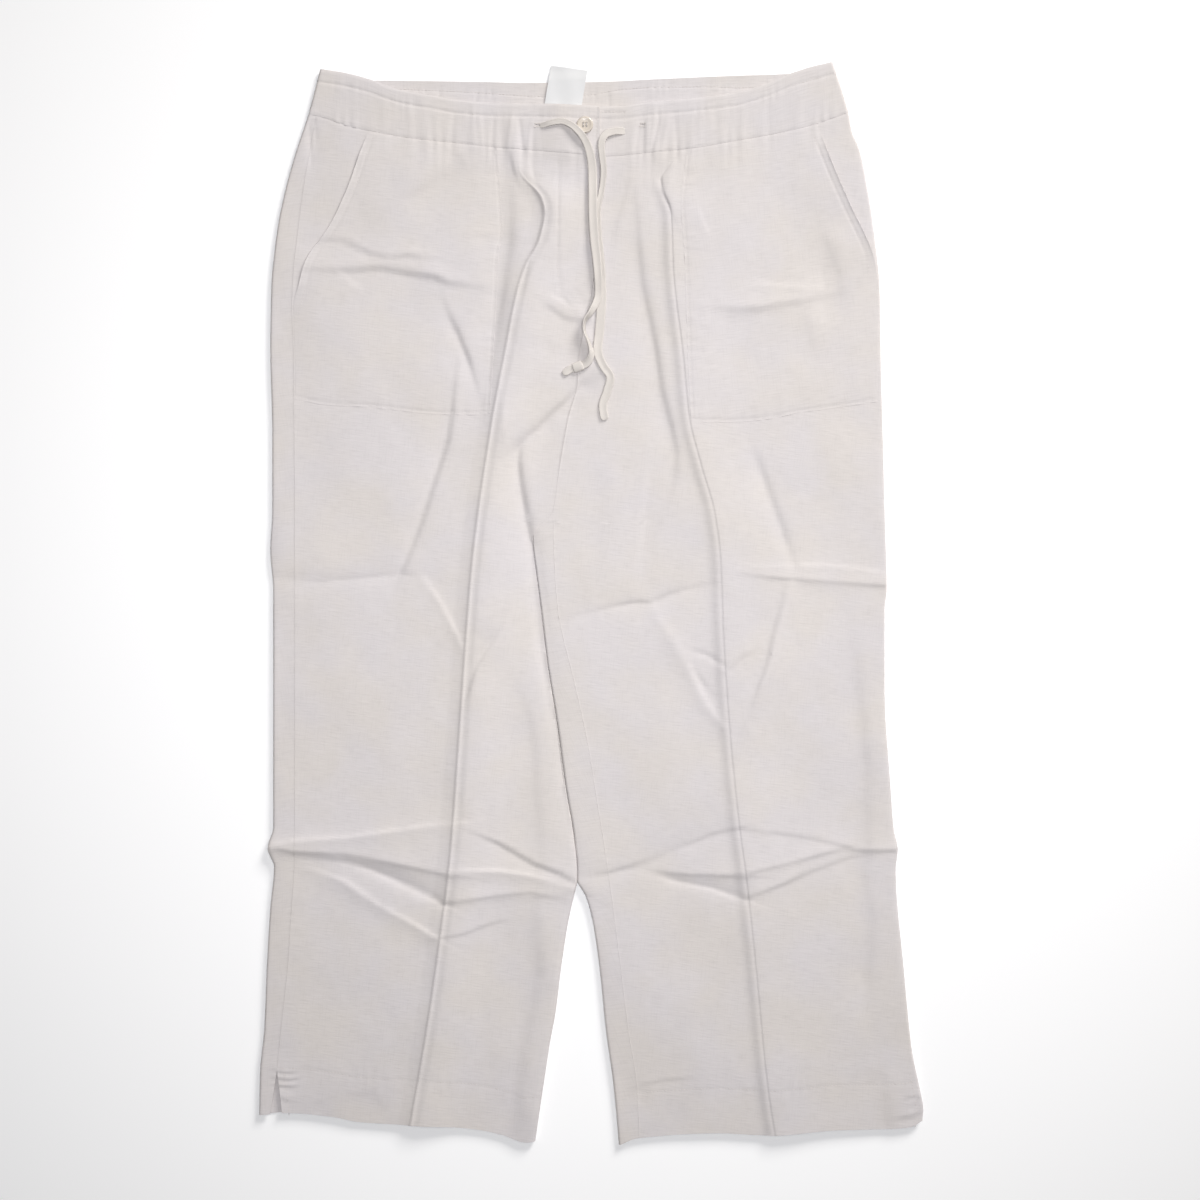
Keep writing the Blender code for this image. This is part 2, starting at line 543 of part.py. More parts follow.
def sheet(name, x, y, z, wall, finish, keep=None):
    """A cloth piece from a grid of middle-surface points, given its wall by Solidify."""
    rows, across = x.shape
    bm = bmesh.new()
    bmesh.ops.create_grid(bm, x_segments=across - 1, y_segments=rows - 1, size=1.0)
    for vertex in bm.verts:
        column = round((vertex.co.x + 1) / 2 * (across - 1))
        row = round((vertex.co.y + 1) / 2 * (rows - 1))
        vertex.tag = keep is not None and not keep[row, column]
        vertex.co = (x[row, column] * MM, y[row, column] * MM, z[row, column] * MM)
    if keep is not None:
        dropped = [vertex for vertex in bm.verts if vertex.tag]
        bmesh.ops.delete(bm, geom=dropped, context="VERTS")
    bmesh.ops.recalc_face_normals(bm, faces=bm.faces)
    mesh = bpy.data.meshes.new(name)
    bm.to_mesh(mesh)
    bm.free()
    piece = bpy.data.objects.new(name, mesh)
    parts.objects.link(piece)
    solidify = piece.modifiers.new("wall", "SOLIDIFY")
    solidify.thickness = wall * MM
    solidify.offset = 0.0
    mesh.materials.append(finish)
    mesh.shade_smooth()


def make_front(name, half, counts, finish, rises):
    zone, share = columns(*counts)
    row_y, zone = np.meshgrid(stations(PANEL_ROWS), zone, indexing="ij")
    share = np.broadcast_to(share, zone.shape)
    y = row_y
    for _ in range(FIT_ROUNDS):
        x, z = front_section(half, zone, share, y)
        y = bend_rows(x, row_y, half.hem, BAND_SEAM, SEAM_GAP)
    x, z = front_section(half, zone, share, y)
    if rises:
        z = z + fly_rise(x, y)
    sheet(name, x, y, z, CLOTH, finish)
    return x, y, z


def make_back(name, half, counts, finish, strip_top):
    zone, share = columns(*counts)
    row_y, zone = np.meshgrid(stations(PANEL_ROWS), zone, indexing="ij")
    share = np.broadcast_to(share, zone.shape)
    y = row_y
    for _ in range(FIT_ROUNDS):
        x, z = back_section(half, zone, share, y, strip_top)
        y = bend_rows(x, row_y, half.hem, BACK_SEAM, BACK_SEAM_GAP)
    x, z = back_section(half, zone, share, y, strip_top)
    last_wrap = counts[0] + counts[1]
    column = np.broadcast_to(np.arange(zone.shape[1]), zone.shape)
    keep = (row_y < strip_top) | (column >= last_wrap)
    sheet(name, x, y, z, CLOTH, finish, keep)


# ---- waistband -------------------------------------------------------------------------
def band_ripple(x, share):
    """Gathers fade towards the band's upper edge."""
    total = np.zeros(np.shape(x))
    for place, height, width in BAND_RIPPLES:
        total = total + height * np.exp(-((x - place) / width) ** 2)
    return total * (1 - RIPPLE_FADE * share)


def band_section(zone, share, y, start, end):
    """x and drop across a band piece; start and end are the x of a free edge, or None
    where the band turns over at the side and meets the other band halfway up."""
    radius = (FRONT_BAND_MID - BACK_BAND_MID) / 2
    reach, _ = edge_turn(0.0, radius, 1.0)
    flat = np.zeros(zone.shape)
    if start is None:
        low = follow(OUTER_RIGHT_LEG, y) + BAND_CLOTH / 2
        start_in, start_drop = edge_turn((1 - share) * TURN_END, radius, 1.0)
        first, flat_start = low + start_in, low + reach
    else:
        first, start_drop, flat_start = start + share * EDGE_COLUMN, flat, start + EDGE_COLUMN
    if end is None:
        high = follow(OUTER_LEFT_LEG, y) - BAND_CLOTH / 2
        end_in, end_drop = edge_turn(share * TURN_END, radius, 1.0)
        last, flat_end = high - end_in, high - reach
    else:
        last, end_drop, flat_end = end - (1 - share) * EDGE_COLUMN, flat, end - EDGE_COLUMN
    x = np.select([zone == 0, zone == 1], [first, mix(flat_start, flat_end, share)], last)
    drop = np.select([zone == 0, zone == 2], [start_drop, end_drop], 0.0)
    return x, drop


def band_points(counts, foot, top, start, end):
    """Grid of a band piece: x, y, drop and the share of its height."""
    zone, share = columns(*counts)
    height, zone = np.meshgrid(np.linspace(0, 1, BAND_ROWS + 1), zone, indexing="ij")
    share = np.broadcast_to(share, zone.shape)
    y = np.full(zone.shape, BAND_GUESS_Y)
    for _ in range(FIT_ROUNDS):
        x, drop = band_section(zone, share, y, start, end)
        y = mix(follow(foot, x) + SEAM_GAP / 2, follow(top, x), height)
    x, drop = band_section(zone, share, y, start, end)
    return x, y, drop, height


def overlap_rise(x):
    start, end = OVERLAP_RAMP
    return OVERLAP_RISE * ease(OVERLAP_EDGE - start, OVERLAP_EDGE - end, x)


def make_bands(finish):
    x, y, drop, height = band_points(BAND_R_COLUMNS, BAND_SEAM, FRONT_TOP, None, OVERLAP_EDGE)
    z = FRONT_BAND_MID + band_ripple(x, height) + overlap_rise(x) - drop
    sheet("waistband_front_r", x, y, z, BAND_CLOTH, finish)
    x, y, drop, height = band_points(BAND_L_COLUMNS, BAND_SEAM, FRONT_TOP, UNDERLAP_EDGE, None)
    z = FRONT_BAND_MID + band_ripple(x, height) * ease(*UNDERLAP_SMOOTH, x) - drop
    sheet("waistband_front_l", x, y, z, BAND_CLOTH, finish)
    x, y, drop, height = band_points(BAND_BACK_COLUMNS, BACK_SEAM, BACK_TOP, None, None)
    sheet("waistband_back", x, y, BACK_BAND_MID + drop, BAND_CLOTH, finish)


# ---- pockets and label -----------------------------------------------------------------
def panel_height(panel, x, y):
    """Height of a panel's grid under each point: along its rows, then between them."""
    height = np.empty(x.shape)
    for place in np.ndindex(x.shape):
        row_y = [np.interp(x[place], row_x, row) for row_x, row in zip(panel[0], panel[1])]
        row_z = [np.interp(x[place], row_x, row) for row_x, row in zip(panel[0], panel[2])]
        height[place] = np.interp(y[place], row_y, row_z)
    return height


def make_pocket(name, panel, outer, inner, foot, mouth_foot, finish):
    """A patch whose points are its panel's, moved out by the wall and a gap."""
    across, up = np.meshgrid(np.linspace(0, 1, POCKET_COLUMNS + 1), stations(POCKET_ROWS))
    x = mix(follow(outer, POCKET_GUESS_Y), follow(inner, POCKET_GUESS_Y), across)
    for _ in range(FIT_ROUNDS):
        y = mix(follow(foot, x), follow(BAND_SEAM, x) - POCKET_SETBACK, up)
        x = mix(follow(outer, y), follow(inner, y), across)
    fullness = POCKET_FULLNESS * np.sin(across * math.pi) ** 0.5 * np.sin(up * math.pi) ** 0.5
    distance = np.abs(x - follow(outer, y))
    mouth = POCKET_MOUTH_LIFT * np.exp(-distance / MOUTH_WIDTH)
    mouth = mouth * ease(mouth_foot, mouth_foot + TURN_LENGTH, y) * ease(*MOUTH_TOP, y)
    clearance = SEAM_GAP + POCKET_CLEARANCE
    z = panel_height(panel, x, y) + CLOTH + clearance + fullness + mouth
    sheet(name, x, y, z, CLOTH, finish)


def make_label(finish):
    """A bare satin label on the back band; its free end sags to the floor past the edge."""
    columns_at = np.linspace(0, 1, LABEL_COLUMNS + 1)
    across, up = np.meshgrid(columns_at, np.linspace(0, 1, LABEL_ROWS + 1))
    x = mix(LABEL_FOOT[0], LABEL_HEAD[0], up) + LABEL_WIDTH * across
    y = mix(LABEL_FOOT[1], LABEL_HEAD[1], up) - LABEL_TILT * across
    resting = BAND_CLOTH + SEAM_GAP + LABEL_CLOTH / 2
    beyond = ease(*LABEL_DROP, y)
    wave = LABEL_WAVE * np.cos(across * math.pi * 2) * beyond
    z = mix(resting, LABEL_CLOTH / 2 + LABEL_FLOOR_GAP, beyond) + wave
    sheet("care_label", x, y, z, LABEL_CLOTH, finish)


# ---- button ----------------------------------------------------------------------------
def make_button(finish):
    """A turned disc with a raised rim, resting just above the band's overlapping end."""
    radius = BUTTON_DIAMETER / 2
    bottom = FRONT_BAND_MID + OVERLAP_RISE + BAND_CLOTH / 2 + SEAM_GAP
    mesh = bpy.data.meshes.new("waist_button")
    points = [(across * radius * MM, 0, up * BUTTON_HEIGHT * MM) for across, up in BUTTON_PROFILE]
    mesh.from_pydata(points, [(i, i + 1) for i in range(len(points) - 1)], [])
    piece = bpy.data.objects.new("waist_button", mesh)
    parts.objects.link(piece)
    piece.location = (BUTTON_PLACE[0] * MM, BUTTON_PLACE[1] * MM, bottom * MM)
    screw = piece.modifiers.new("turn", "SCREW")
    screw.steps = BUTTON_STEPS
    screw.render_steps = BUTTON_STEPS
    screw.use_merge_vertices = True
    screw.merge_threshold = MERGE_DISTANCE
    screw.use_smooth_shade = True
    mesh.materials.append(finish)


# ---- drawstring ------------------------------------------------------------------------
def top_skin(x, y):
    """Highest cloth surface at each point, bands and fly included."""
    on_band = y > follow(BAND_SEAM, x) - TAPE_MARGIN
    band = FRONT_BAND_MID + BAND_CLOTH / 2 + np.where(x < OVERLAP_EDGE + TAPE_MARGIN, overlap_rise(x), 0.0)
    panel = front_mid(x, y) + CLOTH / 2
    panel = panel + np.where(x < follow(CENTRE, y) + TAPE_MARGIN, fly_rise(x, y), 0.0)
    band = band + np.clip(band_ripple(x, 0.5), 0, None)
    off_button = np.hypot(x - BUTTON_PLACE[0], y - BUTTON_PLACE[1])
    near = off_button < BUTTON_DIAMETER / 2 + TAPE_MARGIN
    button = FRONT_BAND_MID + OVERLAP_RISE + BAND_CLOTH / 2 + SEAM_GAP + BUTTON_HEIGHT
    return np.maximum(np.where(on_band, band, panel), np.where(near, button, 0.0))


def resting_height(x, y):
    """Height of a tape's middle that clears the cloth under its whole width."""
    highest = np.zeros(np.shape(x))
    for off_x in (-TAPE_WIDTH / 2, -TAPE_WIDTH / 4, 0.0, TAPE_WIDTH / 4, TAPE_WIDTH / 2):
        for off_y in (-TAPE_WIDTH / 2, -TAPE_WIDTH / 4, 0.0, TAPE_WIDTH / 4, TAPE_WIDTH / 2):
            highest = np.maximum(highest, top_skin(x + off_x, y + off_y))
    return highest + TAPE_HEIGHT / 2 + SEAM_GAP


def smooth_route(route, spacing):
    """Even points on a Catmull-Rom curve through the route's rows (x, y, lift, turn)."""
    knots = np.array(route, dtype=float)
    knots = np.vstack((2 * knots[0] - knots[1], knots, 2 * knots[-1] - knots[-2]))
    fine = []
    for index in range(1, len(knots) - 2):
        before, start, end, after = knots[index - 1:index + 3]
        for t in np.linspace(0, 1, ROUTE_STEPS, endpoint=False):
            bend = 2 * before - 5 * start + 4 * end - after
            twist = 3 * start - before - 3 * end + after
            fine.append(start + 0.5 * t * ((end - before) + t * (bend + t * twist)))
    fine.append(knots[-2])
    fine = np.array(fine)
    run = np.concatenate(([0.0], np.cumsum(np.hypot(*np.diff(fine[:, :2], axis=0).T))))
    places = np.linspace(0, run[-1], round(run[-1] / spacing) + 1)
    return np.column_stack([np.interp(places, run, fine[:, k]) for k in range(fine.shape[1])])


def make_tape(name, route, finish):
    """A drawstring end: a flat tube with round edges along its route over the cloth."""
    points = smooth_route(route, TAPE_SPACING)
    heights = resting_height(points[:, 0], points[:, 1]) + points[:, 2]
    padded = np.pad(heights, SMOOTH_POINTS // 2, "edge")
    even = np.convolve(padded, np.full(SMOOTH_POINTS, 1 / SMOOTH_POINTS), "valid")
    heights = np.maximum(heights, even)
    curve = bpy.data.curves.new(name, "CURVE")
    curve.dimensions = "3D"
    curve.twist_mode = "Z_UP"
    curve.bevel_depth = TAPE_HEIGHT / 2 * MM
    curve.extrude = (TAPE_WIDTH - TAPE_HEIGHT) / 2 * MM
    curve.bevel_resolution = 2
    curve.use_fill_caps = True
    spline = curve.splines.new("POLY")
    spline.points.add(len(points) - 1)
    for knot, (x, y, _, turn), z in zip(spline.points, points, heights):
        knot.co = (x * MM, y * MM, z * MM, 1.0)
        knot.tilt = math.radians(90 + turn)
    tape = bpy.data.objects.new(name, curve)
    parts.objects.link(tape)
    curve.materials.append(finish)


# ---- build -----------------------------------------------------------------------------
for leftover in list(bpy.data.objects):
    bpy.data.objects.remove(leftover, do_unlink=True)
parts = bpy.data.collections.new("capri_pants")
bpy.context.scene.collection.children.link(parts)

cloth = material("cloth", 0.85)
tape_cloth = material("tape", 0.8)
front_r = make_front("front_panel_r", RIGHT_HALF, FRONT_R_COLUMNS, cloth, rises=True)
front_l = make_front("front_panel_l", LEFT_HALF, FRONT_L_COLUMNS, cloth, rises=False)
make_back("back_panel_r", RIGHT_HALF, BACK_COLUMNS, cloth, math.inf)
make_back("back_panel_l", LEFT_HALF, BACK_COLUMNS, cloth, STRIP_TOP_Y)
make_bands(cloth)
make_pocket("pocket_r", front_r, POCKET_RIGHT_OUTER, POCKET_RIGHT_INNER, POCKET_RIGHT_FOOT,
            MOUTH_FOOT_R, cloth)
make_pocket("pocket_l", front_l, POCKET_LEFT_OUTER, POCKET_LEFT_INNER, POCKET_LEFT_FOOT,
            MOUTH_FOOT_L, cloth)
make_label(material("label", 0.5))
make_button(material("button", 0.35))
make_tape("drawstring_r", DRAWSTRING_RIGHT, tape_cloth)
make_tape("drawstring_l", DRAWSTRING_LEFT, tape_cloth)
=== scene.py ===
"""Capri pants lying flat: loose light linen-blend trousers with a shaped drawstring waistband.

Each cloth piece is a thin shell over its solid's form.  A grid of points follows the
garment's own outlines, and folds, gathers, seams and stitched lines move it up and down.

Frame: X from the wearer's right to the wearer's left, Y from the hems to the waist,
Z up from the floor.  Sizes below are millimetres; the meshes are metres.
"""

import math
from collections import namedtuple

import bmesh
import bpy
import numpy as np
from mathutils import Matrix, Vector


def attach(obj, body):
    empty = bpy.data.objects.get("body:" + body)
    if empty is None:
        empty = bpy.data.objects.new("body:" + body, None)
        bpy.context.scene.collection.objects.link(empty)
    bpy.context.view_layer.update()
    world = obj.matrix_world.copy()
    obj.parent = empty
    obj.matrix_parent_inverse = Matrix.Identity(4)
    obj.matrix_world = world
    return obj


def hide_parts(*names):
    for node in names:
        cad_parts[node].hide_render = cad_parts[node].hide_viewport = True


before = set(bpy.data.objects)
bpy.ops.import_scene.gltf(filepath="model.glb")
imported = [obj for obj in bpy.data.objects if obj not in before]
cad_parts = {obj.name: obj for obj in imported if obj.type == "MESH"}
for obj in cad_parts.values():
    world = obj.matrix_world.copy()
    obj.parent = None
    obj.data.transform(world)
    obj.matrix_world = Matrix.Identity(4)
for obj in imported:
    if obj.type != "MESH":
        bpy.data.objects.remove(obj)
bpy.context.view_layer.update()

MM = 0.001
MERGE_DISTANCE = 0.00005  # metres

# ---- cloth and heights ----
CLOTH = 0.7  # a panel's shell
BAND_CLOTH = 1.2  # the waistband is folded double
LABEL_CLOTH = 0.3
SEAM_GAP = 0.03  # the pieces meet in the bottom of a seam's groove
GRAIN = 6.5  # degrees; each leg's weft slopes down towards the wearer's left
RIM_ANGLE = 40.0  # degrees; a cloth's cut rim is sharper than this
BACK_MID = CLOTH / 2  # each MID is the height of a cloth's middle surface
FRONT_MID = 4.0  # where a front panel is smooth
LOWEST_MID = 1.35  # a front panel never sinks below this
BACK_BAND_MID = BAND_CLOTH / 2
FRONT_BAND_MID = 4.1
WAIST_BLEND = 10.0  # a panel takes the band's height over this distance

# ---- legs, hems and turned edges ----
CROTCH_Y = 77.8  # the four panels meet here
CREVICE_Y = 60.0  # the inner edges begin to turn down here
LEGS_PART_Y = -237.0  # the inner edges touch above this
SLIT_TOP_Y = -397.0  # the side slits open below this
SLIT_OPENING = 0.45  # share of its turn that an edge loses at the slit
STRIP_TOP_Y = 68.4  # the left leg's turned strip begins just below the crotch
STRIP_ROUND = (64.0, 44.0)  # its edge is square above the first y, round below the second
STRIP_FLATNESS = 4.0  # a turned strip stays level until close to its edge
TURN_LENGTH = 30.0  # a turned edge opens or closes over this length
TURN_END = 0.985  # a turned edge almost meets the other sheet's turned edge
EDGE_READ = 2.0  # an edge takes its height from this far in
HEM_DEPTH = 38.0
HEM_RISE = -0.10  # the pressed hem lies a little lower than the cloth above it
HEM_EDGE = 1.5  # half of the width of that step

# ---- waistband ----
BAND_HEIGHT = 42.0
BAND_ENDS = (-235.0, 215.0)
BAND_EDGE = 2.5  # width of the columns along a free edge
OVERLAP_EDGE = 7.8  # free edge of the band's buttoned end
OVERLAP_RISE = 2.0  # the buttoned end lies on the other end
OVERLAP_RAMP = (56.0, 32.0)  # the rise starts and ends this far from the free edge
UNDERLAP_EDGE = -14.0  # the other end reaches under it, to hold the button
UNDERLAP_SMOOTH = (6.0, 20.0)  # that end has no gathers at the first x, all at the second
CORNER_RADIUS = 4.0  # of the buttoned end's upper corner
RIPPLE_FADE = 0.75  # share of its ripples that a band loses at its upper edge
GATHER_DEPTH = 0.9  # scales all the fine gathers below
GATHER_WIDTH = 0.75
CHANNEL_FADE = (0.84, 0.52)  # shares of the band's height between which the gathers end
BAND_UNEVEN = 0.45  # share of the panels' unevenness that the stiffer band has
TOPSTITCH_DEPTH = 11.0  # of the waistband's stitched line, from its upper edge
TAB_STITCH = 2.2  # the overlap's stitched line, from its free edge
BACK_FACING_STEP = 0.35
BACK_FACING_EDGE = 0.8  # half of the width of that step
BACK_WAVE = 0.12  # soft waves inside the back band
BACK_WAVE_STEPS = (7.1, 5.3)  # their wavelengths along X and Y, over 2 pi
JOIN_START = (-1, 3)  # the facing's joins grow between these distances below its edge

# ---- patch pockets ----
PATCH_EDGE = 0.17  # a patch's middle above its panel's, sewn down at its edge
PATCH_FREE = 0.8  # and how much higher it lies inside
PATCH_SLOPE = 12.0
PATCH_TUCK = 2.0  # the seam holds it as if it ran on this far above
PATCH_STITCH = 2.0  # a patch's stitched lines, from its edges
POCKET_SETBACK = 0.4  # its upper edge, below the band's seam
POCKET_CUT = 300.0  # a patch is cut from another place of the cloth
MOUTH_STITCH = 6.5
MOUTH_LIFT = 0.6
MOUTH_WIDTH = 9.0
MOUTH_BEAD = 0.7  # the turned edge of a pocket mouth stands up
MOUTH_BEAD_WIDTH = 1.5
MOUTH_FOOT_R = 254.0
MOUTH_FOOT_L = 280.0
MOUTH_TOP = (405.0, 380.0)  # no lift above the first y, all of it below the second

# ---- care label ----
LABEL_WIDTH = 31.0
LABEL_TILT = 4.4
LABEL_HEAD = (-33.6, 458.2)
LABEL_FOOT = (-39.5, 421.5)
LABEL_DROP = (444.0, 456.0)  # it sags from the first y to the second
LABEL_BOW = 0.5
LABEL_RIPPLE = 0.15
LABEL_RIPPLE_TURNS = (9, 4)  # radians across and along the label
LABEL_LIFT = 0.2

# ---- button and buttonholes ----
BUTTON_PLACE = (-4.7, 406.0)
BUTTON_DIAMETER = 14.0
BUTTON_HEIGHT = 2.2
BUTTON_GAP = 0.3  # above the cloth
BUTTON_SIDES = 48
BUTTON_HOLE_ANGLES = (45, 135, 225, 315)
BUTTON_HOLE_RING = 1.9
BUTTON_HOLE = 0.8
BUTTON_HOLE_SIDES = 14
BUTTON_THREAD_LIFT = 0.25
BUTTON_SECTION = (  # the turned profile: (share of the radius, share of the height)
    (0.0, 0.78), (0.35, 0.77), (0.55, 0.79), (0.66, 0.87), (0.74, 0.96), (0.82, 1.0),
    (0.90, 0.98), (0.96, 0.88), (1.0, 0.70), (1.0, 0.42), (0.96, 0.2), (0.86, 0.04),
    (0.74, 0.0), (0.0, 0.0),
)
BUTTONHOLES = ((-46.5, -39.5, 406.4), (43.0, 45.8, 406.8))  # from x, to x, y
LIP_RING = 1.6  # a buttonhole's lips stand this far from its slit
LIP_SIDE = 1.35  # the satin stitches lie this far beside the slit
LIP_END = 0.8  # and this far past its ends

# ---- drawstring ----
TAPE_WIDTH = 8.0  # a flat folded tape
TAPE_HEIGHT = 1.5
TAPE_SPACING = 1.6
TAPE_MARGIN = 1.0  # a tape rests on an edge from this far beyond it
TAPE_FEELERS = (-3.5, -1.8, 0.0, 1.8, 3.5)  # a tape lies on the highest cloth at these
TAPE_CLEARANCE = 0.1
TAPE_SMOOTH = 9  # points in the running mean that bridges dips
TAPE_SETTLE = 10  # rounds of fine smoothing
TAPE_END = 3.0  # a tape's ends close over this length
TAPE_TIP = (0.55, 0.25)  # shares of its width and height left at the very end
TAPE_CREASES = (0.30, 0.15)  # depths of the two waves of the crease along its middle
TAPE_CREASE_PHASE = 0.7
TAPE_CREASE_HALF = 0.5  # half of the crease's width, as a share of half the tape's
TAPE_SECTION = (  # (share of half the width, share of half the height)
    (-1.0, 0.0), (-0.93, 0.72), (-0.74, 1.0), (-0.46, 0.62), (0.0, 0.5), (0.46, 0.62),
    (0.74, 1.0), (0.93, 0.72), (1.0, 0.0), (0.92, -0.8), (0.5, -0.95), (0.0, -0.95),
    (-0.5, -0.95), (-0.92, -0.8),
)
TAPE_WIDTHS_RIGHT = (  # (share of the length, width)
    (0, 4.6), (0.06, 5.4), (0.14, 6.2), (0.22, 7.4), (0.30, 7.8), (0.50, 8.0), (0.60, 7.2),
    (0.68, 6.4), (0.80, 6.2), (0.88, 6.6), (0.94, 7.0), (1.0, 6.4),
)
TAPE_WIDTHS_LEFT = (
    (0, 6.6), (0.08, 6.4), (0.16, 5.6), (0.26, 5.2), (0.36, 5.6), (0.46, 7.6), (0.60, 8.2),
    (0.74, 8.0), (0.84, 7.2), (1.0, 7.4),
)
WRAP_PLACES = (0.925, 0.965)  # shares of the right tape's length that its knot covers
KNOT_SIDES = 16
KNOT_CLOTH = 0.9  # the knot's sleeve stands this far out from the tape
KNOT_LIFT = 0.3
KNOT_FULLNESS = 0.4  # power of the sleeve's bulge: smaller is fuller
KNOT_ENDS = (0.8, 0.6)  # shares of its width and height at the sleeve's ends
KNOT_PLEAT = 0.04
ROUTE_STEPS = 24  # steps between two rows of a route

# ---- rows and columns of the cloth pieces ----
FIT_ROUNDS = 6  # x and y follow each other's tables, so they settle in rounds
ROW_FOOT_Y = -446
ROW_TOP_Y = 381
BEND_REACH = 120.0  # rows take the hem's and the waist's curve within this distance
PANEL_ROWS = (  # each run (from y, to y, steps), closer at hems, knees and waist
    (-446, -424, 9), (-424, -392, 22), (-392, -300, 34), (-300, -180, 84), (-180, -110, 26),
    (-110, -20, 40), (-20, 40, 42), (40, STRIP_TOP_Y - 0.2, 14), (STRIP_TOP_Y + 0.2, 240, 60),
    (240, 368, 62), (368, 381, 9),
)
FRONT_R_COLUMNS = (5, 60, 42, 6)  # seam edge, to the press, to the turn, turn
FRONT_L_COLUMNS = (5, 46, 56, 6)
BACK_COLUMNS = (10, 10, 30, 6)  # strip, wrap, flat, turn
SEAM_STRIP = 4.0  # width of the seam edge's columns
PRESS_CLOSER = 1.5  # columns crowd towards the pressed crease
STRIP_CLOSER = 1.6  # and those of a turned strip towards its seam
BAND_ROWS = ((0, 1, 40),)
BAND_SPACING = 1.3  # between the columns of a band
BAND_TURN_STEPS = 6
BAND_GUESS_Y = 430.0  # where the fitting starts
POCKET_COLUMNS = 92
POCKET_ROWS = 118
POCKET_GUESS_Y = 300.0
EDGE_CROWDING = 0.4  # how far a patch's rows and columns crowd towards its edges
LABEL_COLUMNS = 30
LABEL_ROWS = 36

# ---- drawstring ends: rows (x, y, lift above the cloth, turn about its length) ----
DRAWSTRING_RIGHT = (  # leaves the band at the wearer's right
    (-43.5, 405.4, -3.6, 0), (-38.5, 406.6, 0, 0), (-33, 408, 0.2, 0),
    (-24, 409, 0.2, 0), (-15.5, 405, 0.2, 0), (-7, 396.5, 0.2, 0), (-1.5, 386, 0.2, 0),
    (1.3, 372, 0, 0), (2, 350, 2.2, 0), (2.2, 330, 2.2, 0), (3.4, 310, 2.2, 0),
    (5.6, 290, 2.2, 0), (6.8, 270, 2.2, 0), (5.8, 258, 2.2, 10), (0.5, 247, 3.4, 45),
    (-4.8, 239.5, 3.4, 70), (-5.2, 231, 3.4, 70), (-1.6, 222, 3.4, 70),
    (1, 212, 3.4, 45), (-3, 204, 1.6, 10), (-9.5, 201.2, 0.4, 0),
    (-17, 198.8, 0.2, 0), (-23.5, 194.6, 0.2, 0),
)
DRAWSTRING_LEFT = (
    (30.5, 401.2, -3.6, 0), (25.5, 401.3, 0, 0), (20, 401, 0.2, 0),
    (12.6, 398, 0.2, 0), (9.4, 391, 0.2, 0), (9.8, 381, 0.2, 0),
    (11.2, 369, 0, 0), (10.6, 358, 0, 0), (8.6, 346, 0, 0),
    (6.2, 334, 0, 0), (6.4, 318, 0, 0), (7.6, 300, 0, 0), (9, 280, 0, 0),
    (9.4, 262, 0, 0), (8.8, 246, 0, 0), (7.6, 230, 0, 0), (6.2, 214, 0, 0),
    (11, 201.5, 0, 0), (16.8, 192.5, 0, 0), (14.4, 181, 0, 0), (10.6, 169, 0, 0),
    (12.2, 155.5, 0, 0),
)

# ---- outlines: each row is (y, x) ----
OUTER_RIGHT_LEG = (  # extreme edge at the wearer's right, -X
    (460, -228.5), (416, -240), (385, -250.3), (351, -259.7), (317, -266.5),
    (266, -271.6), (215, -272.4), (147, -270.7), (79, -270.7), (45, -272.4),
    (11, -269.9), (-73, -269.9), (-190, -269.9), (-208, -274.5), (-224, -269.2),
    (-260, -272.4), (-311, -275.4), (-362, -277.5), (-397, -281), (-440, -282),
)
OUTER_LEFT_LEG = (  # extreme edge at the wearer's left, +X
    (462, 205.5), (416, 219.7), (402, 222.3), (385, 229.1), (351, 235.9),
    (317, 241), (266, 246.1), (215, 246.9), (147, 248.6), (79, 250.3),
    (12, 252), (-5, 250.3), (-73, 250.3), (-158, 255.4), (-192, 258),
    (-209, 261.4), (-226, 259.7), (-311, 266.5), (-379, 273.3), (-413, 280.1),
    (-430, 283), (-440, 282.3),
)
CENTRE = (  # centre seam, then the crevice where the legs touch
    (390, 8.1), (343, 7.2), (300, 5.5), (266, 1.3), (237, -4.7), (215, -8.9),
    (185, -11.7), (158, -18.9), (122, -25.4), (96, -29.3), (77.8, -31.9),
    (66, -44), (54, -48.9), (28, -46), (-2, -42.1), (-52, -36.1),
    (-99, -28.5), (-156, -20.8), (-197, -14), (-229, -11), (-237, -11.2),
)
INNER_RIGHT_LEG = (  # below the point where the legs part
    (-237, -11.2), (-260, -16.6), (-277, -20), (-311, -25.1), (-345, -29.3),
    (-379, -35.3), (-413, -40.4), (-447, -45.5), (-460, -47.4),
)
INNER_LEFT_LEG = (
    (-237, -11.2), (-250, -3.8), (-272, 2.1), (-313, 8.1), (-363, 13.2),
    (-413, 20), (-462, 24.4),
)
SIDE_SEAM_RIGHT_LEG = (  # lies on top, inside the outer edge
    (414, -232.6), (385, -238.4), (361, -242.7), (317, -248.6), (275, -252.9),
    (253, -253.7), (215, -252.4), (174, -252), (3, -251.2), (-209, -251.2),
    (-268, -254.6), (-306, -257.1), (-354, -262.2), (-397, -266.5),
)
SLIT_FRONT_EDGE = ((-397, -266.5), (-412, -264.6), (-436, -262))
SLIT_BACK_EDGE = ((-397, -266.5), (-412, -268.8), (-436, -272.6))
INSEAM_LEFT_LEG = (  # lies on top, inside the inner edge
    (77.8, -31.9), (51, -31.4), (0, -28.5), (-70, -13.2), (-112, -3.8),
    (-169, 5.5), (-222, 14), (-293, 23.4), (-362, 31.9), (-413, 39.5),
    (-462, 41.6),
)
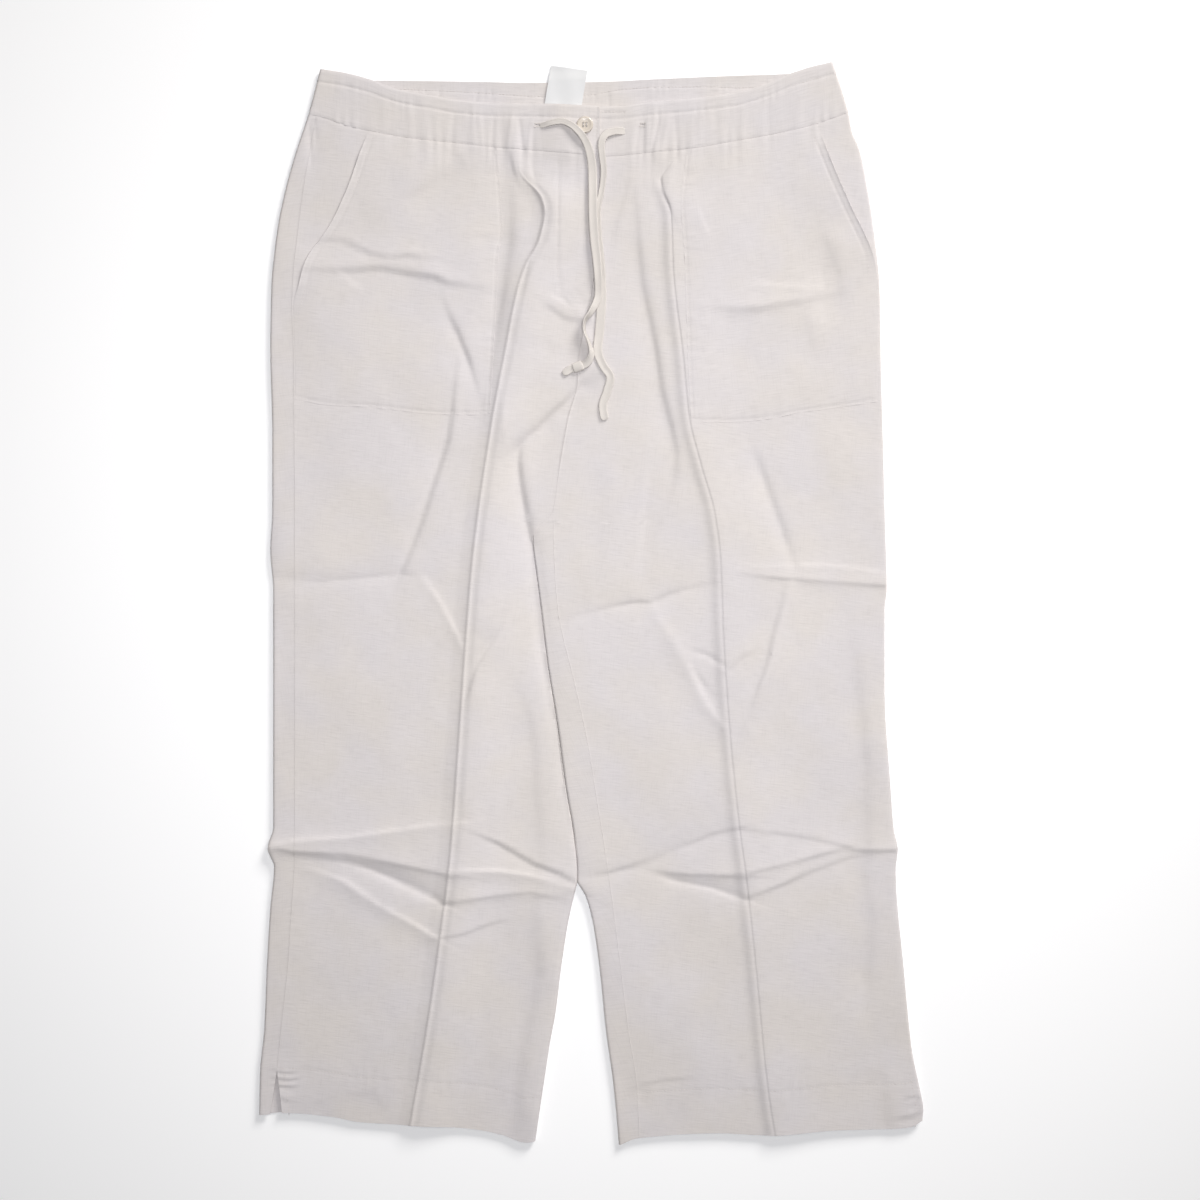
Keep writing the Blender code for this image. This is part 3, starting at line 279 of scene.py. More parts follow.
PRESS_RIGHT_LEG = (  # the pressed crease down the front of each leg
    (400, -64.5), (368, -59.9), (344, -41.2), (332, -38.7), (309, -42.9),
    (288, -54), (268, -60.8), (209, -72.7), (153, -83.2), (37, -99.4),
    (-44, -106), (-116, -110.9), (-209, -117.7), (-286, -127.1),
    (-362, -138.1), (-445, -152.5),
)
PRESS_LEFT_LEG = (
    (400, 78), (379, 72.7), (361, 60.8), (330, 69.3), (285, 71),
    (209, 79.5), (158, 84.6), (117, 94.8), (78, 105.8), (39, 110.9),
    (-26, 113.5), (-104, 118.6), (-182, 126.2), (-234, 133), (-305, 140.7),
    (-409, 150.9), (-455, 157.9),
)

# ---- edges along the width: each row is (x, y) ----
HEM_RIGHT_LEG = (
    (-282, -434.8), (-258, -433.1), (-218, -436.5), (-197, -440.7),
    (-116, -445), (-95, -447.5), (-75, -451.8), (-54.8, -458), (-46, -457),
)
HEM_LEFT_LEG = (
    (22, -461.6), (41, -454.3), (108, -450.1), (149, -451.8), (210, -447.5),
    (251, -446.7), (272, -445), (283, -439),
)
BAND_SEAM = (  # lower edge of the front waistband
    (-241, 416), (-228, 413.5), (-208, 406.5), (-188, 402), (-153, 395.7),
    (-113, 391.4), (-80, 388), (-43, 385), (-4, 381.4), (12, 380.4),
    (27, 381.2), (52, 383.8), (85, 387), (127, 394), (159, 399.9),
    (188, 406.7), (220, 417.8),
)
FRONT_TOP = (
    (-230, 454.3), (-209, 450.9), (-189, 445.8), (-175, 440.7), (-162, 436.5),
    (-133, 431.4), (-113, 428), (-82, 425.4), (-40, 424.6), (8, 422.6),
    (27, 422.9), (44, 425.4), (97, 430.5), (126, 434.8), (149, 441.6),
    (172, 450.9), (188, 456), (206, 460.3),
)
BACK_TOP = (
    (-230, 453.6), (-209, 449.8), (-186, 445.4), (-153, 445), (-94, 444.1),
    (-55, 443.3), (6, 444.1), (61, 446.7), (119, 449.2), (172, 451.2),
    (188, 454.6), (206, 459.6),
)
BACK_SEAM = (
    (-241, 416), (-205, 409.5), (-150, 405.5), (0, 403.5), (130, 406),
    (180, 410), (220, 417.8),
)

# ---- pockets: a patch on each front, open along a slanted edge ----
POCKET_RIGHT_OUTER = (  # rows (y, x)
    (404, -187.7), (383, -195.9), (358, -204.4), (342, -211.2), (326, -218.9),
    (310, -229.1), (299, -237.8), (287, -243.5), (271, -247.8), (254, -252),
    (215, -251), (170, -250.4),
)
POCKET_RIGHT_INNER = (
    (392, -79.8), (343, -76.1), (312, -74.4), (301, -77.8), (268, -79.5), (157, -85.4),
)
POCKET_RIGHT_FOOT = (  # rows (x, y)
    (-251, 173.8), (-224, 168.7), (-192, 167), (-167, 164.5), (-135, 161.1),
    (-94, 160.2), (-84, 161.9),
)
POCKET_LEFT_INNER = (
    (390, 83.2), (372, 80.3), (335, 76.9), (301, 79.5), (251, 81.2), (184, 83.7), (150, 85.9),
)
POCKET_LEFT_OUTER = (
    (414, 190), (394, 197.6), (364, 209.5), (337, 221.4), (311, 234.2), (296, 240),
    (284, 242.6), (266, 242.8), (215, 243.4), (165, 244.6),
)
POCKET_LEFT_FOOT = (
    (85, 153.8), (114, 153.8), (153, 156.8), (176, 161.9), (202, 165.3), (245, 171.6),
)

# ---- the largest folds ----
# path: points (x, y).  height: above the smooth cloth, below it where negative.
# left, right: how far the fold reaches on each side of its path, as it runs.
# start, end: the share of the height that is left at each end of the path.
Fold = namedtuple("Fold", "name path height left right start end")
FOLDS = [Fold(*row) for row in (
    ("crotch drag", ((-8, 186), (-22, 171), (-34, 161), (-46, 148), (-57, 139), (-61, 131),
     (-61, 118), (-59, 103), (-54, 71), (-50.5, 54), (-48, 30), (-44, 0), (-38, -50), (-29, -99)),
     -3.1, 3.5, 9, 0.7, 0.2),
    ("crevice right side", ((-49.6, 50), (-48.4, 30), (-44.8, 0), (-38.6, -50), (-30, -99),
     (-22.5, -156), (-15.5, -197)), -2.4, 0.4, 5, 0.2, 0.4),
    ("thigh roll", ((-80, 215), (-74, 160), (-72, 118)), 1.2, 9, 14, 0.2, 0.2),
    ("crotch bulge", ((-30, 215), (-40, 178)), 1.6, 14, 12, 0.2, 0.5),
    ("right thigh upper", ((-124, 256), (-112, 230), (-97, 187)), -1.3, 6, 6, 0.1, 0.3),
    ("right thigh lower", ((-118, 156), (-125, 130), (-141, 78), (-160, 28)), -1.5, 7, 6, 0.3, 0.5),
    ("right cross fold", ((-268, 22), (-221, 22), (-162, 27), (-136, 24)), -1.3, 6, 6, 0.8, 0.4),
    ("right diamond", ((-141, 20), (-124, -5), (-108, -38)), 0.7, 3, 5, 0.4, 0.6),
    ("right knee 1", ((-274, -208), (-252, -201), (-209, -198), (-162, -191), (-118, -186)),
     1.6, 6, 14, 1, 0.5),
    ("right knee 2", ((-274, -208), (-252, -210), (-213, -214), (-162, -222), (-118, -230)),
     2.6, 16, 6, 0.8, 0.5),
    ("right knee 3", ((-252, -215), (-209, -220), (-170, -232), (-136, -247), (-124, -256)),
     -1.6, 5, 7, 0.3, 0.6),
    ("right knee 4", ((-238, -225), (-209, -236), (-162, -263), (-136, -281), (-128, -284)),
     1.7, 12, 6, 0.2, 0.6),
    ("right knee 5", ((-109, -184), (-77, -199), (-47, -218), (-17, -231)), -0.5, 7, 7, 0.5, 0.7),
    ("right knee 6", ((-115, -226), (-68, -228), (-26, -235), (-13, -242)), 2, 12, 6, 0.5, 0.9),
    ("right knee 7", ((-115, -254), (-77, -250), (-26, -246)), 1.4, 12, 5, 0.6, 0.4),
    ("right pocket fold", ((-235, 287), (-199, 288), (-176, 290), (-154, 287), (-122, 277),
     (-94, 271)), 1.2, 12, 5, 0.5, 0.3),
    ("left waist drag 1", ((42, 301), (51, 251), (56, 205), (62, 176)), -1.1, 9, 9, 0.2, 0.4),
    ("left waist drag 2", ((72, 379), (60, 361), (67, 332)), -1.4, 6, 5, 0.4, 0.2),
    ("left hip valley", ((136, 138), (153, 96), (173, 39)), -1.6, 7, 6, 0.2, 0.6),
    ("left lens upper", ((131, 34), (173, 31), (217, 30), (249, 21)), 0.4, 5, 12, 0.2, 1),
    ("left lens lower", ((121, 28), (170, 21), (207, 17), (251, 16)), 1, 12, 4, 0.2, 1),
    ("left diamond inner", ((51, 2), (79, -42), (95, -84), (113, -104)), 1.5, 6, 6, 0.5, 0.5),
    ("left diamond outer", ((170, 16), (160, -21), (150, -60), (126, -102)), 1.2, 6, 6, 0.5, 0.4),
    ("left cross fold", ((-9, -5), (17, -1), (51, 2), (74, 11), (103, 17)), -1.3, 6, 6, 0.3, 0.3),
    ("left knee 1", ((-6, -233), (14, -230), (42, -225), (70, -210), (102, -198), (129, -192)),
     -1.1, 7, 7, 0.8, 0.4),
    ("left knee 2", ((48, -226), (80, -230), (114, -230), (132, -231)), 1.4, 12, 5, 0.1, 0.8),
    ("left knee 3", ((48, -228), (74, -237), (104, -242), (132, -251)), -1, 5, 7, 0.1, 0.6),
    ("left knee 4", ((135, -228), (170, -221), (197, -211), (216, -209), (241, -209), (260, -208)),
     1.2, 12, 5, 0.7, 1),
    ("left knee 5", ((138, -249), (160, -238), (187, -222)), 1, 9, 5, 0.6, 0.2),
    ("left pocket fold", ((101, 246), (126, 249), (153, 253), (176, 256)), 1.7, 8, 5, 0.1, 0.6),
    ("left pocket valley", ((198, 301), (199, 262), (198, 234)), -1.3, 15, 15, 0.1, 0.1),
)]
PRESS_SHAPE_R = (  # the pressed crease across its line: (place towards +X, height)
    (-60, 0), (-30, 0.1), (-13, 0.4), (-8, 1), (-2.2, 2.3), (-0.5, 3.4), (0.2, 3.5),
    (1.4, 3.2), (2.4, 3.15), (8, 4), (14, 3.7), (30, 1.8), (46, 0.25), (58, 0), (95, 0),
)
PRESS_SHAPE_L = (
    (-60, 0), (-26, 0.1), (-13, 0.3), (-9.5, 0.7), (-2.8, 2.45), (-1.2, 2.4), (0.6, 2.95),
    (2, 2.95), (5, 2.9), (45, 1.1), (95, 0),
)
PRESS_FADE = (385, 330)  # none at the first y, full at the second
CREST = 0.9  # softness of every crest
FOLD_SHARE = 0.8  # the creases below carry the rest of each fold's height
FOLD_END = 0.35  # share of a path over which its start or end height changes
FLY_RISE = 0.9
FLY_RISE_WIDTH = 22.0
FLY_FOOT = (205, 260)  # no rise at the first y, full at the second
BAND_RIPPLES = (  # gathers in the drawstring channel: (x, height, width)
    (-99, 0.7, 4), (-76, -0.5, 3), (-65, 0.8, 4), (-50, -0.6, 3), (-20, 0.4, 5),
    (36, 0.5, 4), (45, -0.7, 3), (54, 0.8, 4), (86, 0.5, 4), (110, 0.4, 5), (-140, 0.4, 6),
)
BAND_GATHERS = (  # channel gathers: (x at the seam, lean to the top, height, width)
    (-176, 2, 0.25, 5), (-152, -2, 0.3, 4), (-132, 2, 0.3, 4), (-118, 3, -0.4, 3),
    (-92, -4, 0.45, 3), (-84, 3, -0.5, 2.6), (-70, 4, 0.6, 3), (-58, -4, -0.7, 2.4),
    (-53, 5, 0.6, 2.4), (38, 6, -0.5, 3), (47, 3, 0.8, 2.6), (52, 9, -0.9, 2.4),
    (61, 6, 0.5, 3), (74, -3, -0.4, 3), (92, 3, 0.35, 4), (108, -3, -0.3, 4), (128, 3, 0.3, 4),
    (152, -3, -0.25, 5), (176, 3, 0.25, 5),
)

# ---- finer creases, which only these shells carry ----
FINE_FOLDS = [Fold(*row) for row in (
    ("side gather 1", ((-240, 412), (-238, 390), (-237, 362)), -0.9, 3, 3, 1, 0.1),
    ("side gather 2", ((-234, 411), (-233, 390), (-232, 368)), -0.8, 3, 3, 1, 0.1),
    ("side gather 3", ((-226, 409), (-224, 392), (-223, 376)), -0.5, 3, 3, 1, 0.1),
    ("hip pleat", ((-196, 400), (-198, 380), (-200, 356)), -0.5, 4, 4, 0.8, 0.1),
    ("pocket dart r", ((-160, 300), (-148, 296), (-136, 288)), 0.5, 4, 4, 0.2, 0.2),
    ("waist pleat 1", ((66, 381), (67, 360), (63, 343)), 0.7, 4, 4, 0.9, 0.2),
    ("waist pleat 2", ((-52, 385), (-49, 366), (-43, 349)), -0.9, 5, 4, 0.9, 0.2),
    ("diamond edge l", ((167, 16), (163, -5), (156, -27), (152, -49), (145, -68), (138, -88),
     (130, -104)), 1.2, 2.5, 2.2, 0.6, 0.3),
    ("knee facet r", ((-209, -217), (-187, -226), (-157, -241), (-124, -256)),
     -1.3, 9, 2.5, 0.3, 0.9),
    ("knee facet l", ((45, -226), (69, -235), (103, -242), (132, -252)), -1.1, 9, 2.5, 0.2, 0.9),
    ("thigh soft r", ((-77, -18), (-88, -42), (-98, -65)), -0.7, 9, 9, 0.2, 0.2),
    ("seam pull 1", ((-9, 214), (2, 200), (18, 190)), 0.6, 4, 4, 0.6, 0.1),
    ("seam pull 2", ((-14, 182), (-30, 168), (-44, 150)), 0.8, 4, 4, 0.4, 0.2),
    ("shin soft r", ((-95, -320), (-88, -380), (-84, -430)), -0.5, 14, 14, 0.2, 0.4),
    ("shin soft l", ((84, -300), (88, -360), (92, -420)), 0.5, 16, 16, 0.2, 0.3),
)]
FINE_CREST = 0.5  # fine creases are sharper than the large folds

# pressed-in creases: the cloth steps up to the left of the path, as it runs, by rise.
# width: half of the step's width.  reach: over which the step dies away on both sides.
Crease = namedtuple("Crease", "name path rise width reach start end")
CREASES = [Crease(*row) for row in (
    ("crotch upper", ((-8, 186), (-22, 171), (-34, 161), (-46, 148), (-57, 139)),
     -5.5, 6, 12, 0.8, 0.7),
    ("crotch lower", ((-60, 136), (-61, 120), (-59, 103), (-56, 88), (-53, 71), (-51, 58)),
     2.2, 2.4, 9, 0.4, 0.6),
    ("waist r 1", ((-69, 389), (-67, 377), (-62, 358)), 1.3, 1.5, 12, 0.9, 0.2),
    ("waist r 2", ((-59, 369), (-51, 357), (-41, 342), (-38, 329), (-43, 312), (-51, 292),
     (-54, 276)), 1.1, 2.2, 14, 0.3, 0.8),
    ("waist r soft", ((-67, 359), (-66, 332), (-67, 302), (-72, 272), (-77, 240), (-81, 212)),
     4.2, 8, 20, 0.3, 0.4),
    ("fly pull 1", ((-41, 256), (-32, 250), (-22, 243), (-9, 240)), 1.2, 1.6, 9, 0.2, 1),
    ("fly pull 2", ((-38, 264), (-25, 257), (-11, 248)), -0.9, 1.3, 5, 0.2, 0.9),
    ("fly pull 3", ((-26, 266), (-17, 259), (-8, 250)), -0.7, 1.3, 4, 0.2, 0.9),
    ("fly pull 4", ((-15, 266), (-10, 258), (-6, 251)), -0.6, 1.3, 4, 0.2, 0.9),
    ("patch r 1", ((-123, 385), (-111, 380), (-103, 365)), 0.5, 3, 10, 0.3, 0.2),
    ("patch r 2", ((-164, 340), (-138, 357), (-111, 378)), 3.2, 10, 20, 0.3, 0.3),
    ("patch r 3", ((-224, 309), (-212, 309), (-200, 304), (-186, 297), (-172, 294), (-151, 296),
     (-121, 291)), 1.3, 1.7, 9, 0.6, 0.2),
    ("patch r 4", ((-240, 283), (-200, 283), (-178, 285), (-162, 282), (-147, 279), (-131, 277),
     (-121, 272), (-95, 269), (-83, 264)), 1.4, 1.4, 12, 0.4, 0.2),
    ("patch r 5", ((-210, 279), (-202, 272), (-190, 267)), -0.6, 1.6, 7, 0.5, 0.1),
    ("patch r 6", ((-103, 312), (-81, 314)), 0.5, 1.4, 7, 0.2, 0.8),
    ("thigh r 1", ((-124, 257), (-119, 243), (-111, 227), (-103, 207), (-97, 187)),
     1.8, 1.8, 13, 0.2, 0.3),
    ("thigh r 2", ((-113, 207), (-115, 184), (-118, 154), (-121, 136), (-131, 107), (-141, 75),
     (-151, 47), (-159, 28)), 2, 1.8, 12, 0.3, 0.7),
    ("thigh r soft", ((-34, 237), (-32, 213), (-32, 173)), 1, 7, 25, 0.2, 0.3),
    ("thigh r 3", ((-262, 20), (-226, 20), (-204, 22), (-181, 24), (-160, 26), (-153, 25)),
     0.9, 1.6, 10, 0.3, 0.7),
    ("thigh r 4", ((-138, 17), (-130, 6), (-121, -11), (-114, -24), (-110, -34)),
     -0.7, 1.2, 8, 0.7, 0.6),
    ("thigh r 5", ((-75, -18), (-81, -30), (-89, -42), (-97, -56), (-102, -72)),
     2.2, 2.4, 12, 0.2, 0.7),
    ("shin r roll", ((-62, -66), (-51, -97), (-46, -129), (-46, -160), (-41, -215)),
     1.8, 7, 15, 0.2, 0.6),
    ("drag l", ((38, 347), (40, 332), (42, 302), (45, 272), (51, 243), (57, 213), (61, 183),
     (70, 148), (74, 128), (72, 104), (63, 78), (57, 67)), 2.8, 4, 16, 0.3, 0.2),
    ("thigh l soft", ((9, 124), (12, 84), (10, 46), (12, 13)), 1.3, 11, 25, 0.2, 0.4),
    ("thigh l 1", ((52, 124), (46, 95), (41, 35), (38, 13)), -0.7, 1.8, 8, 0.2, 0.6),
    ("hip l", ((136, 139), (145, 117), (153, 93), (163, 66), (174, 35)), 1.6, 1.9, 13, 0.1, 0.6),
    ("lens l upper", ((130, 35), (141, 32), (167, 32), (189, 34), (211, 32), (247, 28)),
     -0.35, 1.2, 7, 0.3, 0.8),
    ("lens l lower", ((123, 25), (164, 21), (171, 21), (192, 19), (222, 17), (251, 15)),
     0.8, 1.3, 9, 0.1, 1),
    ("cross l", ((-19, -10), (1, -6), (23, -1), (41, 2), (50, 1), (68, 9), (83, 13), (101, 17)),
     0.9, 1.5, 10, 0.3, 0.2),
    ("diamond l inner", ((51, 2), (61, -16), (72, -34), (81, -49), (90, -64), (101, -86),
     (112, -102)), -0.8, 1.7, 10, 0.5, 0.4),
    ("diamond l outer", ((167, 16), (163, -5), (156, -27), (152, -49), (145, -68), (138, -88),
     (130, -104)), 1.7, 2, 9, 0.5, 0.4),
    ("diamond l dark", ((87, -53), (94, -64), (103, -75)), 1.2, 2.8, 6, 0.3, 0.3),
    ("diamond l tuck 1", ((85, -42), (98, -46), (112, -54)), -0.8, 1.4, 6, 0.3, 0.8),
    ("diamond l tuck 2", ((86, -38), (99, -42), (112, -50)), 0.7, 1.4, 6, 0.3, 0.8),
    ("diamond l tuck 3", ((119, -55), (127, -46), (141, -38)), 1, 1.8, 8, 0.8, 0.2),
    ("edge l upper", ((221, -10), (227, -53), (232, -97), (236, -141), (236, -206)),
     3, 9, 18, 0.1, 0.8),
    ("waist l 1", ((73, 380), (67, 371), (61, 363), (61, 350), (67, 340), (71, 328)),
     1.3, 1.8, 10, 0.9, 0.3),
    ("waist l 2", ((34, 373), (31, 351), (22, 320), (17, 296)), 0.8, 2.8, 12, 0.3, 0.2),
    ("patch l 1", ((130, 272), (147, 272), (164, 271), (194, 269)), -0.7, 1.3, 7, 0.2, 0.5),
    ("patch l 2", ((85, 250), (113, 250), (145, 251), (160, 255), (180, 256), (208, 263)),
     1.1, 1.7, 12, 0.2, 0.4),
    ("patch l 3", ((196, 318), (204, 300), (211, 280), (212, 266)), 3, 13, 22, 0.2, 0.8),
    ("patch l 4", ((181, 252), (187, 228), (193, 203)), 1.5, 12, 18, 0.6, 0.1),
    ("patch l 5", ((91, 340), (96, 324), (103, 308)), -0.5, 1.8, 8, 0.2, 0.2),
    ("hip l line", ((212, 371), (221, 376), (230, 381)), -0.6, 1.4, 6, 0.2, 0.6),
    ("knee r 1", ((-273, -206), (-255, -201), (-206, -198), (-143, -189), (-119, -187)),
     -1, 1.2, 9, 1, 0.5),
    ("knee r 2", ((-273, -207), (-252, -211), (-209, -213), (-187, -217), (-157, -223),
     (-121, -231)), 0.9, 1.4, 9, 1, 0.7),
    ("knee r 3", ((-233, -226), (-209, -235), (-180, -255), (-153, -270), (-131, -283)),
     -1.4, 1.7, 9, 0.3, 0.7),
    ("knee r 4", ((-102, -193), (-77, -204), (-48, -221), (-26, -229), (-19, -233)),
     2.1, 1.7, 10, 0.2, 0.9),
    ("knee r 5", ((-114, -226), (-80, -226), (-48, -231), (-21, -239)), -1, 1.4, 9, 0.6, 0.8),
    ("knee r 6", ((-119, -254), (-82, -249), (-51, -246), (-31, -250)), 1.2, 1.6, 10, 0.8, 0.4),
    ("knee r 7", ((-127, -284), (-109, -281), (-87, -273), (-63, -267)), 0.8, 1.3, 8, 0.8, 0.1),
    ("hem r roll", ((-46, -250), (-43, -318), (-56, -379), (-60, -428)), 4.2, 11, 22, 0.4, 0.9),
    ("knee l 1", ((16, -228), (30, -224), (42, -220), (50, -217)), 0.8, 1.4, 8, 0.9, 0.4),
    ("knee l 2", ((72, -210), (94, -200), (103, -196), (125, -191)), 0.7, 1.8, 10, 0.2, 0.8),
    ("knee l 3", ((132, -192), (152, -194), (186, -199), (215, -206)), 0.7, 1.7, 9, 0.6, 0.8),
    ("knee l 4", ((215, -206), (227, -210), (259, -210)), 0.75, 1.3, 8, 0.5, 1),
    ("knee l 5", ((45, -226), (74, -230), (103, -231), (132, -232)), 0.6, 1.4, 8, 0.3, 0.8),
    ("knee l 6", ((137, -228), (167, -221), (201, -212), (215, -208)), 0.8, 1.5, 8, 0.8, 0.8),
    ("knee l 7", ((137, -248), (167, -237), (189, -227), (220, -216), (237, -213)),
     0.9, 1.6, 9, 0.9, 0.3),
    ("slit r tuck 1", ((-265, -398), (-257, -399), (-248, -398)), 0.8, 1, 4, 0.9, 0.2),
    ("slit r tuck 2", ((-265, -404), (-256, -405), (-247, -403)), 1.1, 1, 4, 0.9, 0.2),
    ("slit r tuck 3", ((-265, -410), (-256, -411), (-248, -410)), 1.1, 1, 4, 0.9, 0.2),
    ("slit r tuck 4", ((-264, -420), (-257, -423), (-250, -423)), 0.9, 1.2, 4, 0.9, 0.2),
    ("slit l tuck 1", ((280, -420), (275, -419), (269, -421)), -0.9, 1, 4, 0.9, 0.2),
    ("slit l tuck 2", ((281, -427), (276, -426), (270, -427)), -1, 1, 4, 0.9, 0.2),
    ("slit l tuck 3", ((281, -433), (272, -436), (258, -438)), -1.4, 1.4, 5, 0.9, 0.2),
    ("hem r soft", ((-222, -434), (-205, -418), (-184, -416), (-170, -436)), 0.8, 6, 16, 0.3, 0.3),
    ("hem l side", ((254, -395), (251, -415), (253, -440)), 2.6, 11, 18, 0.3, 0.9),
    ("hem l line", ((45, -409), (62, -405), (88, -403)), 0.6, 1.4, 6, 0.8, 0.2),
    ("hem l roll", ((235, -235), (240, -270), (237, -318), (237, -355)), 2.2, 9, 18, 0.7, 0.3),
)]
CREASE_REACH = 5.0  # a crease is worked out within this many times its reach
CREASE_DEPTH = 1.4  # scales every crease's rise
CREASE_SHARPNESS = 0.75  # and its width

# the cloth is never quite smooth: soft waves, each (wavelength, height), at seeded angles
UNEVEN_SEED = 11
UNEVEN_WAVES = (
    (150, 0.40), (120, 0.34), (96, 0.26), (74, 0.20), (58, 0.15), (46, 0.11), (37, 0.085),
    (29, 0.060), (23, 0.044), (18, 0.030), (14, 0.020), (11, 0.013),
)
WAVES_EACH = 3  # of every wavelength

# ---- seams, fly and stitched lines ----
SIDE_STEP = 0.13  # a front lies this much higher than the strip beside it
INSEAM_STEP = 0.16  # and the left leg's strip this much higher than its front
STEP_REACH = 5.0  # the higher side falls off over this
STEP_EDGE = 0.5  # and the lower side rises within this
CENTRE_FADE = (100.0, 124.0)  # the centre seam flattens out towards the crotch
SLIT_FADE = 6.0  # the right side seam starts over this length above its slit
INSEAM_FADE = 12.0  # and the left inseam over this length below the crotch
FLY_FACING = 0.25  # the fly's facing makes it this much thicker
FLY_FACING_EDGE = 1.5
FLY_FADE = 10.0
SLIT_FACING = 6.0  # a slit's stitched line, from its edge
BACK_LINE_OFF = 1.2  # and the back facing's, above the facing's edge

# a seam or a stitched line pulls a groove, or a ridge where negative: (depth, width)
CENTRE_GROOVE = (-0.4, 0.9)
WAIST_GROOVE = (0.3, 1.2)
STITCH_GROOVE = (0.22, 1.3)
HEM_GROOVE = (0.11, 1.3)
TOPSTITCH_GROOVE = (0.42, 1.2)
BAND_RIM_GROOVE = (0.45, 1.0)
TAB_GROOVE = (0.3, 1.0)
JOIN_GROOVE = (0.3, 1.0)
PATCH_SIDE_GROOVE = (0.22, 1.0)
PATCH_FOOT_GROOVE = (0.30, 1.0)
MOUTH_GROOVE = (0.3, 1.2)
BUTTONHOLE_GROOVE = (0.5, 0.8)
LIP_GROOVE = (-0.3, 0.9)

# and gathers the cloth beside it: (pitch, reach, height, phase)
SIDE_PUCKERS = (9.0, 4.0, 0.10, 0.3)
INSEAM_PUCKERS = (11.0, 4.0, 0.08, 1.7)
CENTRE_PUCKERS = (12.0, 6.0, 0.16, 2.4)
WAIST_PUCKERS_BELOW = (11.0, 13.0, 0.32, 0.9)
WAIST_PUCKERS_ABOVE = (11.0, 6.0, 0.32, 0.9)
FLY_PUCKERS = (7.5, 5.0, 0.16, 0.4)
HEM_PUCKERS = (10.0, 7.0, 0.16, 1.1)
TOPSTITCH_PUCKERS = (8.5, 6.0, 0.16, 0.7)
FACING_PUCKERS = (8.0, 5.0, 0.18, 0.2)
PATCH_SIDE_PUCKERS = (12.0, 9.0, 0.22, 0.5)
PATCH_FOOT_PUCKERS = (14.0, 8.0, 0.18, 1.3)
MOUTH_PUCKERS = (10.0, 6.0, 0.2, 2.6)
PUCKER_WANDER = (1.9, 3.7)  # their spacing wanders by these radians, over this many turns
PUCKER_SWELL = (0.45, 6.1)  # and so does their height

FLY_STITCH = (  # rows (x, y), from the waistband round to the centre seam
    (-27, 381), (-27, 350), (-27.5, 320), (-28, 290), (-26, 268), (-19, 252), (-9, 242),
)
BACK_FACING = (  # upper edge of the facing inside the back band: rows (x, y)
    (-205, 438.5), (-163.6, 436.8), (-102.4, 434.2), (-38.7, 430.6), (0.4, 432.0),
    (25, 436.4), (60.8, 438.6), (97.3, 438.8), (130.5, 438.0), (190, 443.0),
)
BACK_JOINS = (-128.8, -97.3, 15.7)  # upright seams inside the back band
TAB_LINES = ((417.8, 10.2, 29.0), (399.6, 10.2, 29.0))  # y, from x, to x
HEM_LINE_R = (-261, -42)  # the ends of the other stitched lines, along X
HEM_LINE_L = (23, 277)
TOPSTITCH_LINE_R = (-229, 5.5)
TOPSTITCH_LINE_L = (9.5, 217)
BACK_LINE = (-200, 190)
SLIT_LINE_R = (-434, -400)  # and along Y
SLIT_LINE_L = (-444, -400)
OVERLAP_LINE = (383.5, 411)
MOUTH_LINE_TOP = 396
PATCH_LINE_TOP = 3.0  # below the waistband
PATCH_CORNERS = (160.0, 165.0, 175.0, 385.0)  # y where a patch's lines read its outline

Stitch = namedtuple("Stitch", "pitch length width height")
RUNNING_STITCH = Stitch(3.0, 2.3, 0.45, 0.18)
SATIN_STITCH = Stitch(0.42, 0.55, 1.5, 0.14)
BUTTON_STITCH = Stitch(0.55, 0.9, 0.9, 0.6)
STITCH_INPUTS = ("Pitch", "Length", "Width", "Height")
STITCH_UNEVENNESS = (0.86, 1.08)  # a stitch's size differs by a random share
STITCH_SEED = 4

POCKETS = (
    (POCKET_RIGHT_OUTER, POCKET_RIGHT_INNER, POCKET_RIGHT_FOOT, MOUTH_FOOT_R),
    (POCKET_LEFT_OUTER, POCKET_LEFT_INNER, POCKET_LEFT_FOOT, MOUTH_FOOT_L),
)

# ---- finishes, light and camera ----
CLOTH_COLOUR = "#CEC8C4"
CLOTH_COOL = "#CDC8C8"
TAPE_COLOUR = "#CFC9C3"
LABEL_COLOUR = "#D6D6D6"
BUTTON_COLOUR = "#C6BBAE"
BUTTON_PALE = "#CFC6BA"
THREAD_COLOUR = "#CCC5C0"
FLOOR_COLOUR = "#FDFDFD"
WAVE_PERIOD = 0.314  # metres between the bands of a wave texture of scale 1
ROOM_COLOUR = "#FFFFFF"
ROOM_STRENGTH = 0.14
FLOOR_SIZE = 6.0
FLOOR_DROP = 0.0004  # the floor lies just under the cloth, in metres
CAMERA_LENS = 56.47
CAMERA_PLACE = (8.1, 3.0, 1604.0)
LIGHTS = (  # (name, place and size in metres, spread in degrees, watts, colour)
    ("key", (1.72, 2.66, 1.5), 1.2, 180, 110.0, "#FFFDFA"),
    ("overhead", (0.08, 0.06, 1.9), 0.6, 90, 6.5, "#FCFCFF"),
)


